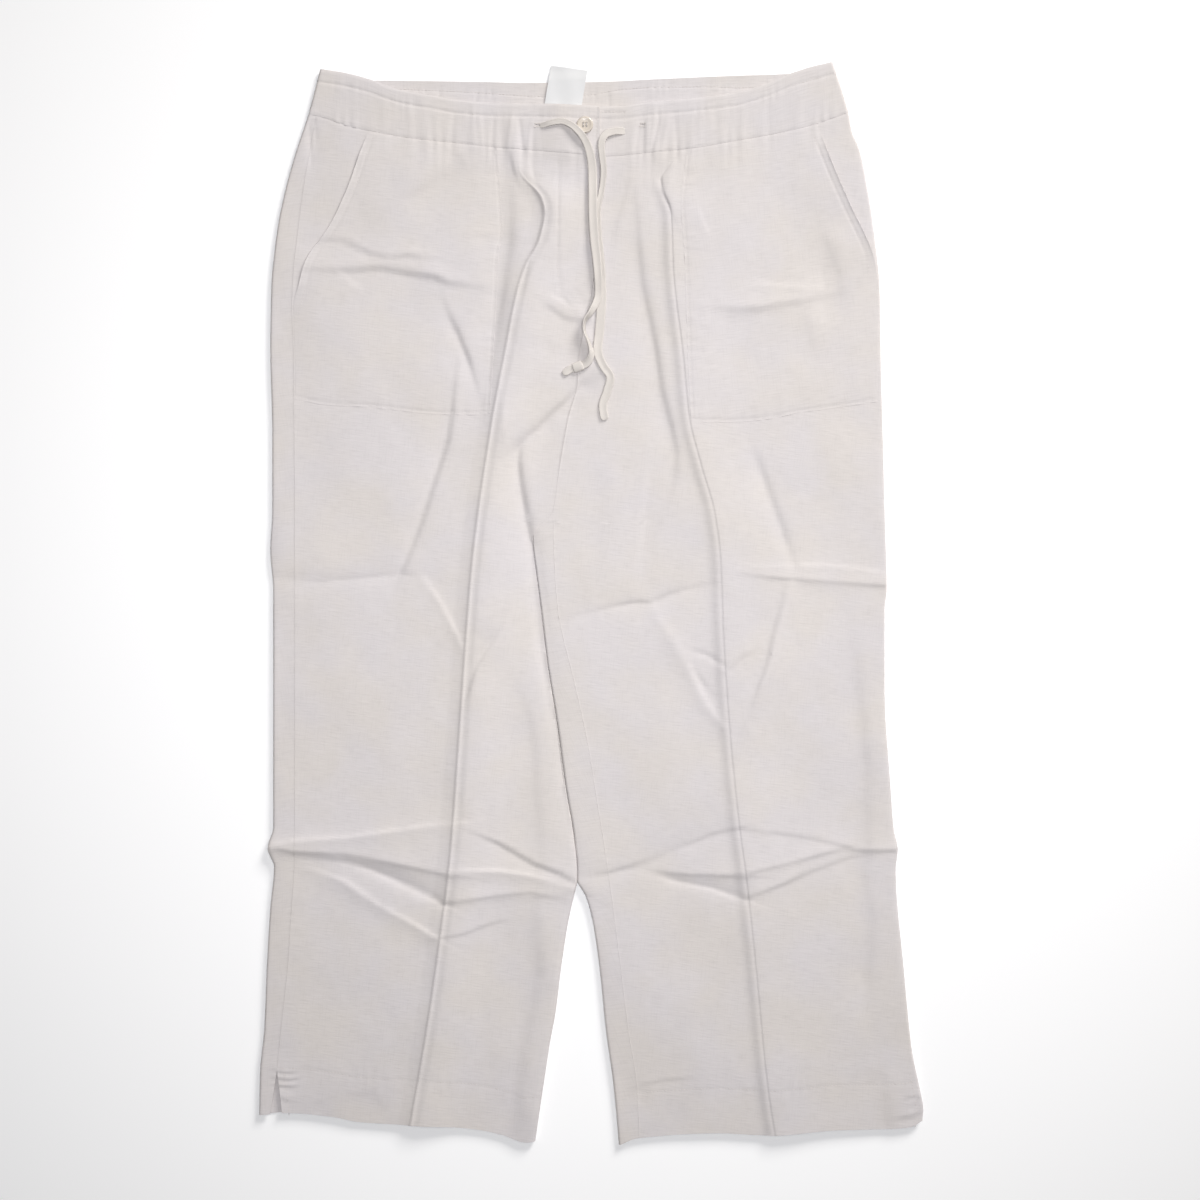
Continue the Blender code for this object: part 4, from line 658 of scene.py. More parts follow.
# ---- reading the tables ----
def follow(table, at):
    """Value of a smooth curve through a table's rows (place, value), without overshoot."""
    place, value = np.array(sorted(table), dtype=float).T
    at = np.clip(np.asarray(at, dtype=float), place[0], place[-1])
    step = np.diff(place)
    slope = np.diff(value) / step
    product = slope[:-1] * slope[1:]
    total = np.where(product > 0, slope[:-1] + slope[1:], 1.0)
    inner = np.where(product > 0, 2 * product / total, 0.0)
    tangent = np.concatenate(([slope[0]], inner, [slope[-1]]))
    row = np.clip(np.searchsorted(place, at) - 1, 0, len(step) - 1)
    t = (at - place[row]) / step[row]
    rise = value[row + 1] - value[row]
    start = tangent[row] * step[row]
    end = tangent[row + 1] * step[row]
    return value[row] + t * (start + t * (3 * rise - 2 * start - end + t * (start + end - 2 * rise)))


def stations(runs):
    """Joins runs of evenly spaced positions, each (from, to, steps), into one list."""
    places = []
    for first, last, steps in runs:
        for step in range(steps + 1):
            places.append(round(first + (last - first) * step / steps, 6))
    return np.array(sorted(set(places)))


def ease(low, high, at):
    """0 at low, 1 at high, with level ends."""
    t = np.clip((at - low) / (high - low), 0.0, 1.0)
    return t * t * (3 - 2 * t)


def mix(low, high, share):
    return low + (high - low) * share


def groove(distance, depth, width):
    """A soft trough along a line, or a ridge where the depth is negative."""
    return -depth * np.exp(-(distance / width) ** 2)


def pucker(along, distance, pitch, reach, height, phase):
    """Small uneven gathers that cross a sewn line and die away from it."""
    wander, wander_over = PUCKER_WANDER
    swell, swell_over = PUCKER_SWELL
    turns = 2 * math.pi * along / pitch
    wobble = np.sin(turns + wander * np.sin(turns / wander_over + phase) + phase)
    strength = 1 - swell + swell * np.sin(turns / swell_over + 2 * phase)
    return height * wobble * strength * np.exp(-np.abs(distance) / reach)


# ---- the cloth's surface ----
def path_place(path, x, y):
    """Distance to a path of points, side of it (left is positive) and share along it."""
    path = np.array(path, dtype=float)
    lengths = np.hypot(*np.diff(path, axis=0).T)
    run = np.concatenate(([0.0], np.cumsum(lengths)))
    nearest = np.full(np.shape(x), np.inf)
    side = np.zeros(np.shape(x))
    share = np.zeros(np.shape(x))
    for index, length in enumerate(lengths):
        start = path[index]
        along = (path[index + 1] - start) / length
        t = np.clip((x - start[0]) * along[0] + (y - start[1]) * along[1], 0, length)
        off_x = x - start[0] - along[0] * t
        off_y = y - start[1] - along[1] * t
        distance = np.hypot(off_x, off_y)
        closer = distance < nearest
        nearest = np.where(closer, distance, nearest)
        side = np.where(closer, along[0] * off_y - along[1] * off_x, side)
        share = np.where(closer, (run[index] + t) / run[-1], share)
    return nearest, side, share


def faded_ends(line, share):
    """Share of its height that a fold or a crease has along its path."""
    start = mix(line.start, 1, ease(0, FOLD_END, share))
    return start * mix(line.end, 1, ease(1, 1 - FOLD_END, share))


def fold_height(fold, x, y, crest):
    """Height that one fold adds at each point."""
    nearest, side, share = path_place(fold.path, x, y)
    width = np.where(side > 0, fold.left, fold.right)
    profile = np.exp(-(np.hypot(nearest, crest) - crest) / width)
    return fold.height * faded_ends(fold, share) * profile


def crease_height(crease, x, y):
    """The cloth steps up to the left of a crease, and the step dies away on both sides."""
    height = np.zeros(np.shape(x))
    path_x, path_y = np.array(crease.path, dtype=float).T
    margin = crease.reach * CREASE_REACH
    near = (x > path_x.min() - margin) & (x < path_x.max() + margin)
    near &= (y > path_y.min() - margin) & (y < path_y.max() + margin)
    nearest, side, share = path_place(crease.path, x[near], y[near])
    step = np.sign(side) * (1 - np.exp(-np.abs(side) / (crease.width * CREASE_SHARPNESS)))
    step *= faded_ends(crease, share) * np.exp(-nearest / crease.reach)
    height[near] = CREASE_DEPTH * crease.rise / 2 * step
    return height


def press_height(table, shape, x, y):
    """Height of a leg's pressed crease, which fades under the waistband."""
    return follow(shape, x - follow(table, y)) * ease(*PRESS_FADE, y)


def plain_mid(x, y):
    """Middle surface with only the large folds, for the radius of a turned edge."""
    x = np.asarray(x, dtype=float)
    y = np.asarray(y, dtype=float)
    right = press_height(PRESS_RIGHT_LEG, PRESS_SHAPE_R, x, y)
    left = press_height(PRESS_LEFT_LEG, PRESS_SHAPE_L, x, y)
    height = FRONT_MID + np.where(x < follow(CENTRE, y), right, left)
    for fold in FOLDS:
        height = height + FOLD_SHARE * fold_height(fold, x, y, CREST)
    return np.maximum(height, LOWEST_MID)


def unevenness(x, y):
    """Soft waves in all directions, from the longest to the shortest."""
    random = np.random.default_rng(UNEVEN_SEED)
    total = np.zeros(np.shape(x))
    for wavelength, height in UNEVEN_WAVES:
        for _ in range(WAVES_EACH):
            angle, phase = random.uniform(0, 2 * math.pi, 2)
            across = x * math.cos(angle) + y * math.sin(angle)
            total = total + height / WAVES_EACH * np.sin(2 * math.pi * across / wavelength + phase)
    return total


def seams(x, y):
    """What the sewn seams do to the panels: a step at the right side seam and the left inseam,
    a ridge at the centre seam and a groove under the waistband, each with its puckers."""
    side = x - follow(SIDE_SEAM_RIGHT_LEG, y)
    closed = ease(SLIT_TOP_Y, SLIT_TOP_Y + SLIT_FADE, y)
    total = (seam_step(side, SIDE_STEP) + pucker(y, side, *SIDE_PUCKERS)) * closed
    inseam = x - follow(INSEAM_LEFT_LEG, y)
    below = ease(CROTCH_Y, CROTCH_Y - INSEAM_FADE, y)
    total += (seam_step(-inseam, INSEAM_STEP) + pucker(y, inseam, *INSEAM_PUCKERS)) * below
    centre = x - follow(CENTRE, y)
    above = ease(*CENTRE_FADE, y)
    total += (groove(centre, *CENTRE_GROOVE) + pucker(y, centre, *CENTRE_PUCKERS)) * above
    return total + waist_seam(x, y - follow(BAND_SEAM, x), WAIST_PUCKERS_BELOW)


def seam_step(distance, rise):
    """The cloth on the far side of a seam lies a little higher than on the near side."""
    fall = np.where(distance > 0, distance / STEP_REACH, (distance / STEP_EDGE) ** 2)
    return rise * np.exp(-fall)


def waist_seam(x, off, puckers):
    """The groove and the puckers that panel and band share at their seam."""
    return groove(off, *WAIST_GROOVE) + pucker(x, off, *puckers)


def band_level(x, right):
    """Height at which the front band and a panel meet, without their seam's groove."""
    height = FRONT_BAND_MID + band_ripple(x, 0.0) + band_gathers(x, 0.0)
    return height + np.where(right, overlap_rise(x), 0.0)


def near_waist(x, y):
    """1 at the band's seam, dying away down the panel."""
    return np.exp(-np.clip(follow(BAND_SEAM, x) - y, 0, None) / WAIST_BLEND)


def fly(x, y):
    """The right front's fly: its facing makes it thicker, inside one stitched line."""
    distance, side, _ = path_place(FLY_STITCH, x, y)
    facing = FLY_FACING * (1 - np.exp(-(distance / FLY_FACING_EDGE) ** 2)) * (side > 0)
    line = groove(distance, *STITCH_GROOVE) + pucker(y, distance, *FLY_PUCKERS)
    foot = FLY_STITCH[-1][1]
    shown = ease(foot - FLY_FADE, foot, y) * (1 - near_waist(x, y))
    return (facing + line) * shown * (x < follow(CENTRE, y))


def fly_rise(x, y):
    """The buttoned side of the fly stands a little higher than the other."""
    distance = follow(CENTRE, y) - x
    rise = FLY_RISE * np.exp(-np.clip(distance, 0, None) / FLY_RISE_WIDTH)
    return rise * ease(*FLY_FOOT, y) * (1 - near_waist(x, y))


def hem_height(hem, x, y):
    """A hem turned up inside: its step, its stitched line and the puckers along it."""
    above = y - follow(hem, x) - HEM_DEPTH
    step = HEM_RISE * ease(HEM_EDGE, -HEM_EDGE, above)
    return step + groove(above, *HEM_GROOVE) + pucker(x, above, *HEM_PUCKERS)


def top_mid(x, y):
    """Middle surface of the panels' upper side, with every crease that they carry."""
    x = np.asarray(x, dtype=float)
    y = np.asarray(y, dtype=float)
    uneven = unevenness(x, y)
    height = plain_mid(x, y) + uneven
    for fold in FINE_FOLDS:
        height = height + fold_height(fold, x, y, FINE_CREST)
    for crease in CREASES:
        height = height + crease_height(crease, x, y)
    right = x < follow(CENTRE, y)
    level = band_level(x, right) + BAND_UNEVEN * uneven
    height = mix(height, level, near_waist(x, y)) + seams(x, y)
    hems = np.where(right, hem_height(HEM_RIGHT_LEG, x, y), hem_height(HEM_LEFT_LEG, x, y))
    height = height + np.where(y < ROW_FOOT_Y + BEND_REACH, hems, 0.0)
    return np.maximum(height, LOWEST_MID)


# ---- edges of the two halves ----
def inner_edge(table, y):
    return np.where(y > LEGS_PART_Y, follow(CENTRE, y), follow(table, y))


def crotch_turn(y):
    """How far the inner edges are turned: flat above the crotch, a full turn below it."""
    return ease(CREVICE_Y, CREVICE_Y - TURN_LENGTH, y)


def slit_turn(y):
    """The left leg's outer edges lie open at the slit."""
    return 1 - SLIT_OPENING * ease(SLIT_TOP_Y, SLIT_TOP_Y - TURN_LENGTH, y)


def right_outer(y):
    return follow(OUTER_RIGHT_LEG, y) + CLOTH / 2


def right_inner(y):
    turned = np.sin(crotch_turn(y) * math.pi / 2)
    return inner_edge(INNER_RIGHT_LEG, y) - SEAM_GAP / 2 - turned * CLOTH / 2


def left_inner(y):
    return inner_edge(INNER_LEFT_LEG, y) + SEAM_GAP / 2 + ease(*STRIP_ROUND, y) * CLOTH / 2


def left_outer(y):
    return follow(OUTER_LEFT_LEG, y) - CLOTH / 2


def right_front_seam(y):
    above = follow(SIDE_SEAM_RIGHT_LEG, y)
    return np.where(y > SLIT_TOP_Y, above, follow(SLIT_FRONT_EDGE, y)) + SEAM_GAP / 2


def right_back_seam(y):
    above = follow(SIDE_SEAM_RIGHT_LEG, y)
    return np.where(y > SLIT_TOP_Y, above, follow(SLIT_BACK_EDGE, y)) - SEAM_GAP / 2


def left_front_seam(y):
    above = follow(CENTRE, y)
    return np.where(y > STRIP_TOP_Y, above, follow(INSEAM_LEFT_LEG, y)) + SEAM_GAP / 2


def left_back_seam(y):
    return follow(INSEAM_LEFT_LEG, y) - SEAM_GAP / 2


# wrap: the extreme edge where the back panel turns over onto the top
# seam: where the front panel begins and where the turned strip of the back panel ends
# far: the other edge, where front and back meet halfway up; turn: how far they are turned
Half = namedtuple("Half", "wrap front_seam back_seam press far turn hem")
RIGHT_HALF = Half(right_outer, right_front_seam, right_back_seam, PRESS_RIGHT_LEG,
                  right_inner, crotch_turn, HEM_RIGHT_LEG)
LEFT_HALF = Half(left_inner, left_front_seam, left_back_seam, PRESS_LEFT_LEG,
                 left_outer, slit_turn, HEM_LEFT_LEG)


# ---- sections across a half ----
def edge_turn(share, radius, turned):
    """A sheet's last stretch, for share 0 at its start to 1 at the free edge.

    Returns the distance in from the extreme edge and the drop from the sheet's face.
    """
    length = radius * math.pi / 2
    angle = turned * math.pi / 2
    straight = length - radius * angle
    run = share * length
    bend = np.clip(run - straight, 0, None) / radius
    out = np.minimum(run, straight) + radius * np.sin(bend)
    reach = straight + radius * np.sin(angle)
    return reach - out, radius * (1 - np.cos(bend))


def bend_rows(x, row_y, hem, top, gap):
    """Rows take the hem's curve at one end and the waist's, less a gap, at the other."""
    near_hem = ease(ROW_FOOT_Y + BEND_REACH, ROW_FOOT_Y, row_y)
    near_top = ease(ROW_TOP_Y - BEND_REACH, ROW_TOP_Y, row_y)
    hem_shift = (follow(hem, x) - ROW_FOOT_Y) * near_hem
    top_shift = (follow(top, x) - gap - ROW_TOP_Y) * near_top
    return row_y + hem_shift + top_shift


def edge_radius(edge, inward, half, row_y, top, gap):
    """Radius of a turned edge for each row, from the height of the cloth just inside it."""
    y = row_y
    for _ in range(2):
        x = edge(y) + inward * EDGE_READ
        y = bend_rows(x, row_y, half.hem, top, gap)
    return (plain_mid(x, y) - BACK_MID) / 2


def columns(*counts):
    """Zone number and share for each column; a zone of n steps adds n columns."""
    zone = [0]
    share = [0.0]
    for number, count in enumerate(counts):
        for step in range(count):
            zone.append(number)
            share.append((step + 1) / count)
    return np.array(zone), np.array(share)


def front_grid(half, counts, rises):
    """x, y and height across a front panel; its zones are in FRONT_R_COLUMNS."""
    zone, share = columns(*counts)
    row_y, zone = np.meshgrid(stations(PANEL_ROWS), zone, indexing="ij")
    share = np.broadcast_to(share, zone.shape)
    radius = edge_radius(half.far, -1, half, row_y[:, :1], BAND_SEAM, SEAM_GAP)
    to_press = 1 - (1 - share) ** PRESS_CLOSER
    y = row_y
    for _ in range(FIT_ROUNDS):
        far = half.far(y)
        press = follow(half.press, y)
        turned = half.turn(y)
        start_in, _ = edge_turn(0.0, radius, turned)
        last_in, drop = edge_turn(share * TURN_END, radius, turned)
        seam = half.front_seam(y)
        edge = seam + SEAM_STRIP * share
        seam_side = mix(seam + SEAM_STRIP, press, to_press)
        far_side = mix(press, far - start_in, share ** PRESS_CLOSER)
        x = np.select([zone == 0, zone == 1, zone == 2], [edge, seam_side, far_side],
                      far - last_in)
        y = bend_rows(x, row_y, half.hem, BAND_SEAM, SEAM_GAP / 2)
    top = top_mid(x, y)
    if rises:
        top = top + fly_rise(x, y) + fly(x, y)
    turned_top = mix(top, BACK_MID + 2 * radius, share * half.turn(y)) - drop
    return x, y, np.where(zone == 3, turned_top, top)


def back_grid(half, counts, strip_top):
    """x, y and height across a back panel; its zones are in BACK_COLUMNS.

    Above strip_top nothing is turned over, and the flat begins at the centre seam.
    """
    zone, share = columns(*counts)
    row_y, zone = np.meshgrid(stations(PANEL_ROWS), zone, indexing="ij")
    share = np.broadcast_to(share, zone.shape)
    wrap_radius = edge_radius(half.wrap, 1, half, row_y[:, :1], BACK_SEAM, SEAM_GAP)
    rounded = ease(*STRIP_ROUND, row_y) if math.isfinite(strip_top) else 1.0
    radius = edge_radius(half.far, -1, half, row_y[:, :1], BACK_SEAM, SEAM_GAP)
    angle = share * math.pi
    closer_at_ends = (1 - np.cos(angle)) / 2
    y = row_y
    for _ in range(FIT_ROUNDS):
        wrap = half.wrap(y)
        far = half.far(y)
        turned = half.turn(y)
        start_in, _ = edge_turn(0.0, radius, turned)
        last_in, rise = edge_turn(share * TURN_END, radius, turned)
        flat_start = np.where(y > strip_top, left_front_seam(y), wrap + wrap_radius)
        strip = mix(half.back_seam(y), wrap + wrap_radius * rounded, share ** STRIP_CLOSER)
        bend = (1 - rounded) * CLOTH / 2 + wrap_radius * rounded * (1 - np.sin(angle))
        flat = mix(flat_start, far - start_in, closer_at_ends)
        x = np.select([zone == 0, zone == 1, zone == 2], [strip, wrap + bend, flat],
                      far - last_in)
        y = bend_rows(x, row_y, half.hem, BACK_SEAM, SEAM_GAP / 2)
    near_edge = share ** (STRIP_CLOSER * STRIP_FLATNESS)
    turned_over = mix(top_mid(x, y), BACK_MID + 2 * wrap_radius, near_edge * rounded)
    brim = turned_over[:, counts[0]:counts[0] + 1] - BACK_MID
    around = BACK_MID + brim * (1 + np.cos(angle)) / 2
    z = np.select([zone == 0, zone == 1, zone == 2], [turned_over, around, BACK_MID],
                  BACK_MID + rise)
    last_wrap = counts[0] + counts[1]
    column = np.broadcast_to(np.arange(zone.shape[1]), zone.shape)
    keep = (row_y < strip_top + 0.5) | (column >= last_wrap)
    return x, y, z, keep


# ---- making the cloth pieces ----
def settle(piece):
    """Keeps what a piece's modifiers make of it, as a plain mesh."""
    graph = bpy.context.evaluated_depsgraph_get()
    old = piece.data
    mesh = bpy.data.meshes.new_from_object(
        piece.evaluated_get(graph), preserve_all_data_layers=True, depsgraph=graph)
    piece.modifiers.clear()
    piece.data = mesh
    bpy.data.meshes.remove(old)
    mesh.name = piece.name
    return piece


def new_piece(name, mesh, finish):
    """An object in the garment's collection, at the origin."""
    piece = bpy.data.objects.new(name, mesh)
    pieces.objects.link(piece)
    mesh.materials.append(finish)
    return piece


def cloth_sheet(name, points, cloth_map, wall, finish, keep=None):
    """A cloth piece from grids of its middle surface and of its flat cloth coordinates."""
    x, y, z = points
    kept = np.ones(x.shape, dtype=bool) if keep is None else keep
    number = np.full(x.shape, -1)
    number[kept] = np.arange(np.count_nonzero(kept))
    around = (number[:-1, :-1], number[:-1, 1:], number[1:, 1:], number[1:, :-1])
    faces = np.stack(around, axis=-1).reshape(-1, 4)
    faces = faces[(faces >= 0).all(axis=1)]
    mesh = bpy.data.meshes.new(name)
    mesh.from_pydata(np.column_stack((x[kept], y[kept], z[kept])) * MM, [], faces.tolist())
    flat = np.column_stack((cloth_map[0][kept], cloth_map[1][kept])) * MM
    layer = mesh.uv_layers.new(name="cloth")
    layer.uv.foreach_set("vector", flat[faces.ravel()].ravel())
    piece = new_piece(name, mesh, finish)
    solidify = piece.modifiers.new("wall", "SOLIDIFY")
    solidify.thickness = wall * MM
    solidify.offset = 0.0
    settle(piece)
    piece.data.shade_smooth()
    piece.data.set_sharp_from_angle(angle=math.radians(RIM_ANGLE))
    return piece


def to_grain(x, y, angle):
    """Places along the weft and the warp of a cloth turned by so many degrees."""
    turn = math.radians(angle)
    return x * math.cos(turn) + y * math.sin(turn), y * math.cos(turn) - x * math.sin(turn)


def grain_map(x, y, z, column, angle):
    """Cloth coordinates: arc length along each row from a column, turned to the grain."""
    step = np.hypot(np.diff(x, axis=1), np.diff(z, axis=1))
    run = np.concatenate((np.zeros((len(x), 1)), np.cumsum(step, axis=1)), axis=1)
    return to_grain(x[:, column:column + 1] + run - run[:, column:column + 1], y, angle)


def make_front(name, half, counts, grain, rises):
    x, y, z = front_grid(half, counts, rises)
    cloth_map = grain_map(x, y, z, counts[0] + counts[1], grain)
    return cloth_sheet(name, (x, y, z), cloth_map, CLOTH, LINEN)


def make_back(name, half, counts, grain, strip_top):
    x, y, z, keep = back_grid(half, counts, strip_top)
    middle = counts[0] + counts[1] + counts[2] // 2
    cloth_map = grain_map(x, y, z, middle, grain)
    return cloth_sheet(name, (x, y, z), cloth_map, CLOTH, LINEN, keep)


# ---- waistband ----
def band_ripple(x, share):
    """The largest gathers of the drawstring channel, fading towards the upper edge."""
    total = np.zeros(np.shape(x))
    for place, height, width in BAND_RIPPLES:
        total = total + height * np.exp(-((x - place) / width) ** 2)
    return total * (1 - RIPPLE_FADE * share)


def band_gathers(x, share):
    """Finer, leaning gathers between the band's seam and its stitched line."""
    total = np.zeros(np.shape(x))
    for place, lean, height, width in BAND_GATHERS:
        off = x - place - lean * share
        total = total + height * np.exp(-(off / (width * GATHER_WIDTH)) ** 2)
    return GATHER_DEPTH * total * ease(*CHANNEL_FADE, share)


def overlap_rise(x):
    """How much higher the buttoned end lies, on top of the other end."""
    start, end = OVERLAP_RAMP
    return OVERLAP_RISE * ease(OVERLAP_EDGE - start, OVERLAP_EDGE - end, x)


def buttonhole_dent(x, y):
    """A worked buttonhole's raised lips round its slit."""
    total = np.zeros(np.shape(x))
    for start, end, hole_y in BUTTONHOLES:
        beyond = np.clip(np.abs(x - (start + end) / 2) - (end - start) / 2, 0, None)
        off = np.hypot(beyond, y - hole_y)
        total += groove(off - LIP_RING, *LIP_GROOVE) + groove(off, *BUTTONHOLE_GROOVE)
    return total


def band_mid(x, y, share, gathers=1.0):
    """Middle surface of the front band, for a point's share of the band's height."""
    below_top = follow(FRONT_TOP, x) - y
    above_line = below_top - TOPSTITCH_DEPTH
    height = FRONT_BAND_MID + (band_ripple(x, share) + band_gathers(x, share)) * gathers
    height = height + BAND_UNEVEN * unevenness(x, y)
    height = height + groove(above_line, *TOPSTITCH_GROOVE)
    height = height + pucker(x, above_line, *TOPSTITCH_PUCKERS) * gathers
    height = height + waist_seam(x, y - follow(BAND_SEAM, x), WAIST_PUCKERS_ABOVE)
    height = height + groove(below_top, *BAND_RIM_GROOVE)
    return height + buttonhole_dent(x, y)


def band_columns(start, end):
    """Zones of a band's columns: turned or free start, middle, turned or free end."""
    first = BAND_ENDS[0] if start is None else start
    last = BAND_ENDS[1] if end is None else end
    return BAND_TURN_STEPS, round((last - first) / BAND_SPACING), BAND_TURN_STEPS


def band_section(zone, share, y, start, end):
    """x and drop across a band; start and end are the x of a free edge, or None where the
    band turns over at the side and meets the other band halfway up."""
    radius = (FRONT_BAND_MID - BACK_BAND_MID) / 2
    reach, _ = edge_turn(0.0, radius, 1.0)
    flat = np.zeros(zone.shape)
    if start is None:
        low = follow(OUTER_RIGHT_LEG, y) + BAND_CLOTH / 2
        start_in, start_drop = edge_turn((1 - share) * TURN_END, radius, 1.0)
        first, flat_start = low + start_in, low + reach
    else:
        first, start_drop, flat_start = start + share * BAND_EDGE, flat, start + BAND_EDGE
    if end is None:
        high = follow(OUTER_LEFT_LEG, y) - BAND_CLOTH / 2
        end_in, end_drop = edge_turn(share * TURN_END, radius, 1.0)
        last, flat_end = high - end_in, high - reach
    else:
        last, end_drop, flat_end = end - (1 - share) * BAND_EDGE, flat, end - BAND_EDGE
    x = np.select([zone == 0, zone == 1], [first, mix(flat_start, flat_end, share)], last)
    drop = np.select([zone == 0, zone == 2], [start_drop, end_drop], 0.0)
    return x, drop


def corner_cut(x, free_edge):
    """How far a band's upper edge drops towards its rounded free corner."""
    inside = np.clip(free_edge - x, 0, CORNER_RADIUS)
    return CORNER_RADIUS - np.sqrt(CORNER_RADIUS ** 2 - (CORNER_RADIUS - inside) ** 2)


def band_points(foot, top, start, end, corner=None):
    """Grid of a band piece: x, y, drop and the share of its height."""
    zone, share = columns(*band_columns(start, end))
    height, zone = np.meshgrid(stations(BAND_ROWS), zone, indexing="ij")
    share = np.broadcast_to(share, zone.shape)
    y = np.full(zone.shape, BAND_GUESS_Y)
    for _ in range(FIT_ROUNDS):
        x, drop = band_section(zone, share, y, start, end)
        upper = follow(top, x) - (0 if corner is None else corner_cut(x, corner))
        y = mix(follow(foot, x) + SEAM_GAP / 2, upper, height)
    return x, y, drop, height


def band_sheet(name, x, y, z, height):
    """A band's cloth lies with its weft along the band."""
    weft, _ = grain_map(x, y, z, x.shape[1] // 2, 0.0)
    return cloth_sheet(name, (x, y, z), (weft, BAND_HEIGHT * height), BAND_CLOTH, LINEN)


def make_band_right():
    x, y, drop, height = band_points(BAND_SEAM, FRONT_TOP, None, OVERLAP_EDGE, OVERLAP_EDGE)
    z = band_mid(x, y, height) + overlap_rise(x) - drop
    z = z + groove(OVERLAP_EDGE - x - TAB_STITCH, *STITCH_GROOVE)
    return band_sheet("waistband_right", x, y, z, height)


def make_band_left():
    x, y, drop, height = band_points(BAND_SEAM, FRONT_TOP, UNDERLAP_EDGE, None)
    z = band_mid(x, y, height, ease(*UNDERLAP_SMOOTH, x)) - drop
    for line_y, start, end in TAB_LINES:
        along = ease(start - 1, start, x) * ease(end + 1, end, x)
        z = z + groove(y - line_y, *TAB_GROOVE) * along
    return band_sheet("waistband_left", x, y, z, height)


def make_band_back():
    """The back band lies inside up: its facing's edge, stitched line and joins show."""
    x, y, drop, height = band_points(BACK_SEAM, BACK_TOP, None, None)
    below = follow(BACK_FACING, x) - y
    z = BACK_BAND_MID + drop + BACK_FACING_STEP * ease(-BACK_FACING_EDGE, BACK_FACING_EDGE, below)
    waves = np.sin(x / BACK_WAVE_STEPS[0]) * np.sin(y / BACK_WAVE_STEPS[1])
    z = z + pucker(x, below, *FACING_PUCKERS) + BACK_WAVE * (1 + waves)
    for join in BACK_JOINS:
        z = z + groove(x - join, *JOIN_GROOVE) * ease(*JOIN_START, below)
    return band_sheet("waistband_back_inside", x, y, np.maximum(z, BACK_BAND_MID), height)


# ---- patch pockets ----
def patch_mid(outer, inner, foot, mouth_foot, x, y):
    """Middle surface of a patch: sewn down at its edges, free inside, lifted at its mouth."""
    from_outer = np.abs(x - follow(outer, y))
    from_inner = np.abs(x - follow(inner, y))
    from_foot = y - follow(foot, x)
    from_top = follow(BAND_SEAM, x) - y
    at_mouth = ease(mouth_foot, mouth_foot + TURN_LENGTH, y) * ease(*MOUTH_TOP, y)
    free = (1 - np.exp(-from_inner / PATCH_SLOPE)) * (1 - np.exp(-from_foot / PATCH_SLOPE))
    free = free * (1 - np.exp(-(from_top + PATCH_TUCK) / PATCH_SLOPE))
    free = free * mix(1 - np.exp(-from_outer / PATCH_SLOPE), 1.0, at_mouth)
    height = top_mid(x, y) + PATCH_EDGE + PATCH_FREE * free
    height = height + groove(from_inner - PATCH_STITCH, *PATCH_SIDE_GROOVE)
    height = height + groove(from_foot - PATCH_STITCH, *PATCH_FOOT_GROOVE)
    height = height + pucker(y, from_inner, *PATCH_SIDE_PUCKERS)
    height = height + pucker(x, from_foot, *PATCH_FOOT_PUCKERS)
    mouth = MOUTH_LIFT * np.exp(-from_outer / MOUTH_WIDTH)
    mouth = mouth + MOUTH_BEAD * np.exp(-from_outer / MOUTH_BEAD_WIDTH)
    mouth = mouth + groove(from_outer - MOUTH_STITCH, *MOUTH_GROOVE)
    mouth = mouth + pucker(y, from_outer, *MOUTH_PUCKERS)
    return height + mouth * at_mouth


def crowded(count):
    """Places from 0 to 1 that are closer towards both ends."""
    even = np.linspace(0, 1, count + 1)
    return mix(even, (1 - np.cos(even * math.pi)) / 2, EDGE_CROWDING)


def make_pocket(name, outer, inner, foot, mouth_foot, grain):
    across, up = np.meshgrid(crowded(POCKET_COLUMNS), crowded(POCKET_ROWS))
    x = mix(follow(outer, POCKET_GUESS_Y), follow(inner, POCKET_GUESS_Y), across)
    for _ in range(FIT_ROUNDS):
        y = mix(follow(foot, x), follow(BAND_SEAM, x) - POCKET_SETBACK, up)
        x = mix(follow(outer, y), follow(inner, y), across)
    z = patch_mid(outer, inner, foot, mouth_foot, x, y)
    weft, warp = to_grain(x, y, grain)
    return cloth_sheet(name, (x, y, z), (weft + POCKET_CUT, warp), CLOTH, LINEN)


# ---- care label ----
def make_label():
    """A bare satin label on the back band; past the band its end sags to the floor."""
    across, up = np.meshgrid(np.linspace(0, 1, LABEL_COLUMNS + 1),
                             np.linspace(0, 1, LABEL_ROWS + 1))
    x = mix(LABEL_FOOT[0], LABEL_HEAD[0], up) + LABEL_WIDTH * across
    y = mix(LABEL_FOOT[1], LABEL_HEAD[1], up) - LABEL_TILT * across
    resting = BAND_CLOTH + BACK_FACING_STEP + 2 * LABEL_CLOTH
    beyond = ease(*LABEL_DROP, y)
    ripple = across * LABEL_RIPPLE_TURNS[0] + up * LABEL_RIPPLE_TURNS[1]
    bow = LABEL_BOW * np.sin(across * math.pi) * beyond + LABEL_RIPPLE * np.sin(ripple)
    z = mix(resting + LABEL_CLOTH, LABEL_CLOTH, beyond) + bow + LABEL_LIFT
    cloth_map = (LABEL_WIDTH * across, (LABEL_HEAD[1] - LABEL_FOOT[1]) * up)
    return cloth_sheet("care_label_ribbon", (x, y, z), cloth_map, LABEL_CLOTH, SATIN)


# ---- button ----
def button_bottom():
    """The button stands just clear of the cloth below its middle."""
    x, y = BUTTON_PLACE
    share = (y - follow(BAND_SEAM, x)) / BAND_HEIGHT
    return float(band_mid(x, y, share) + overlap_rise(x)) + BAND_CLOTH / 2 + BUTTON_GAP


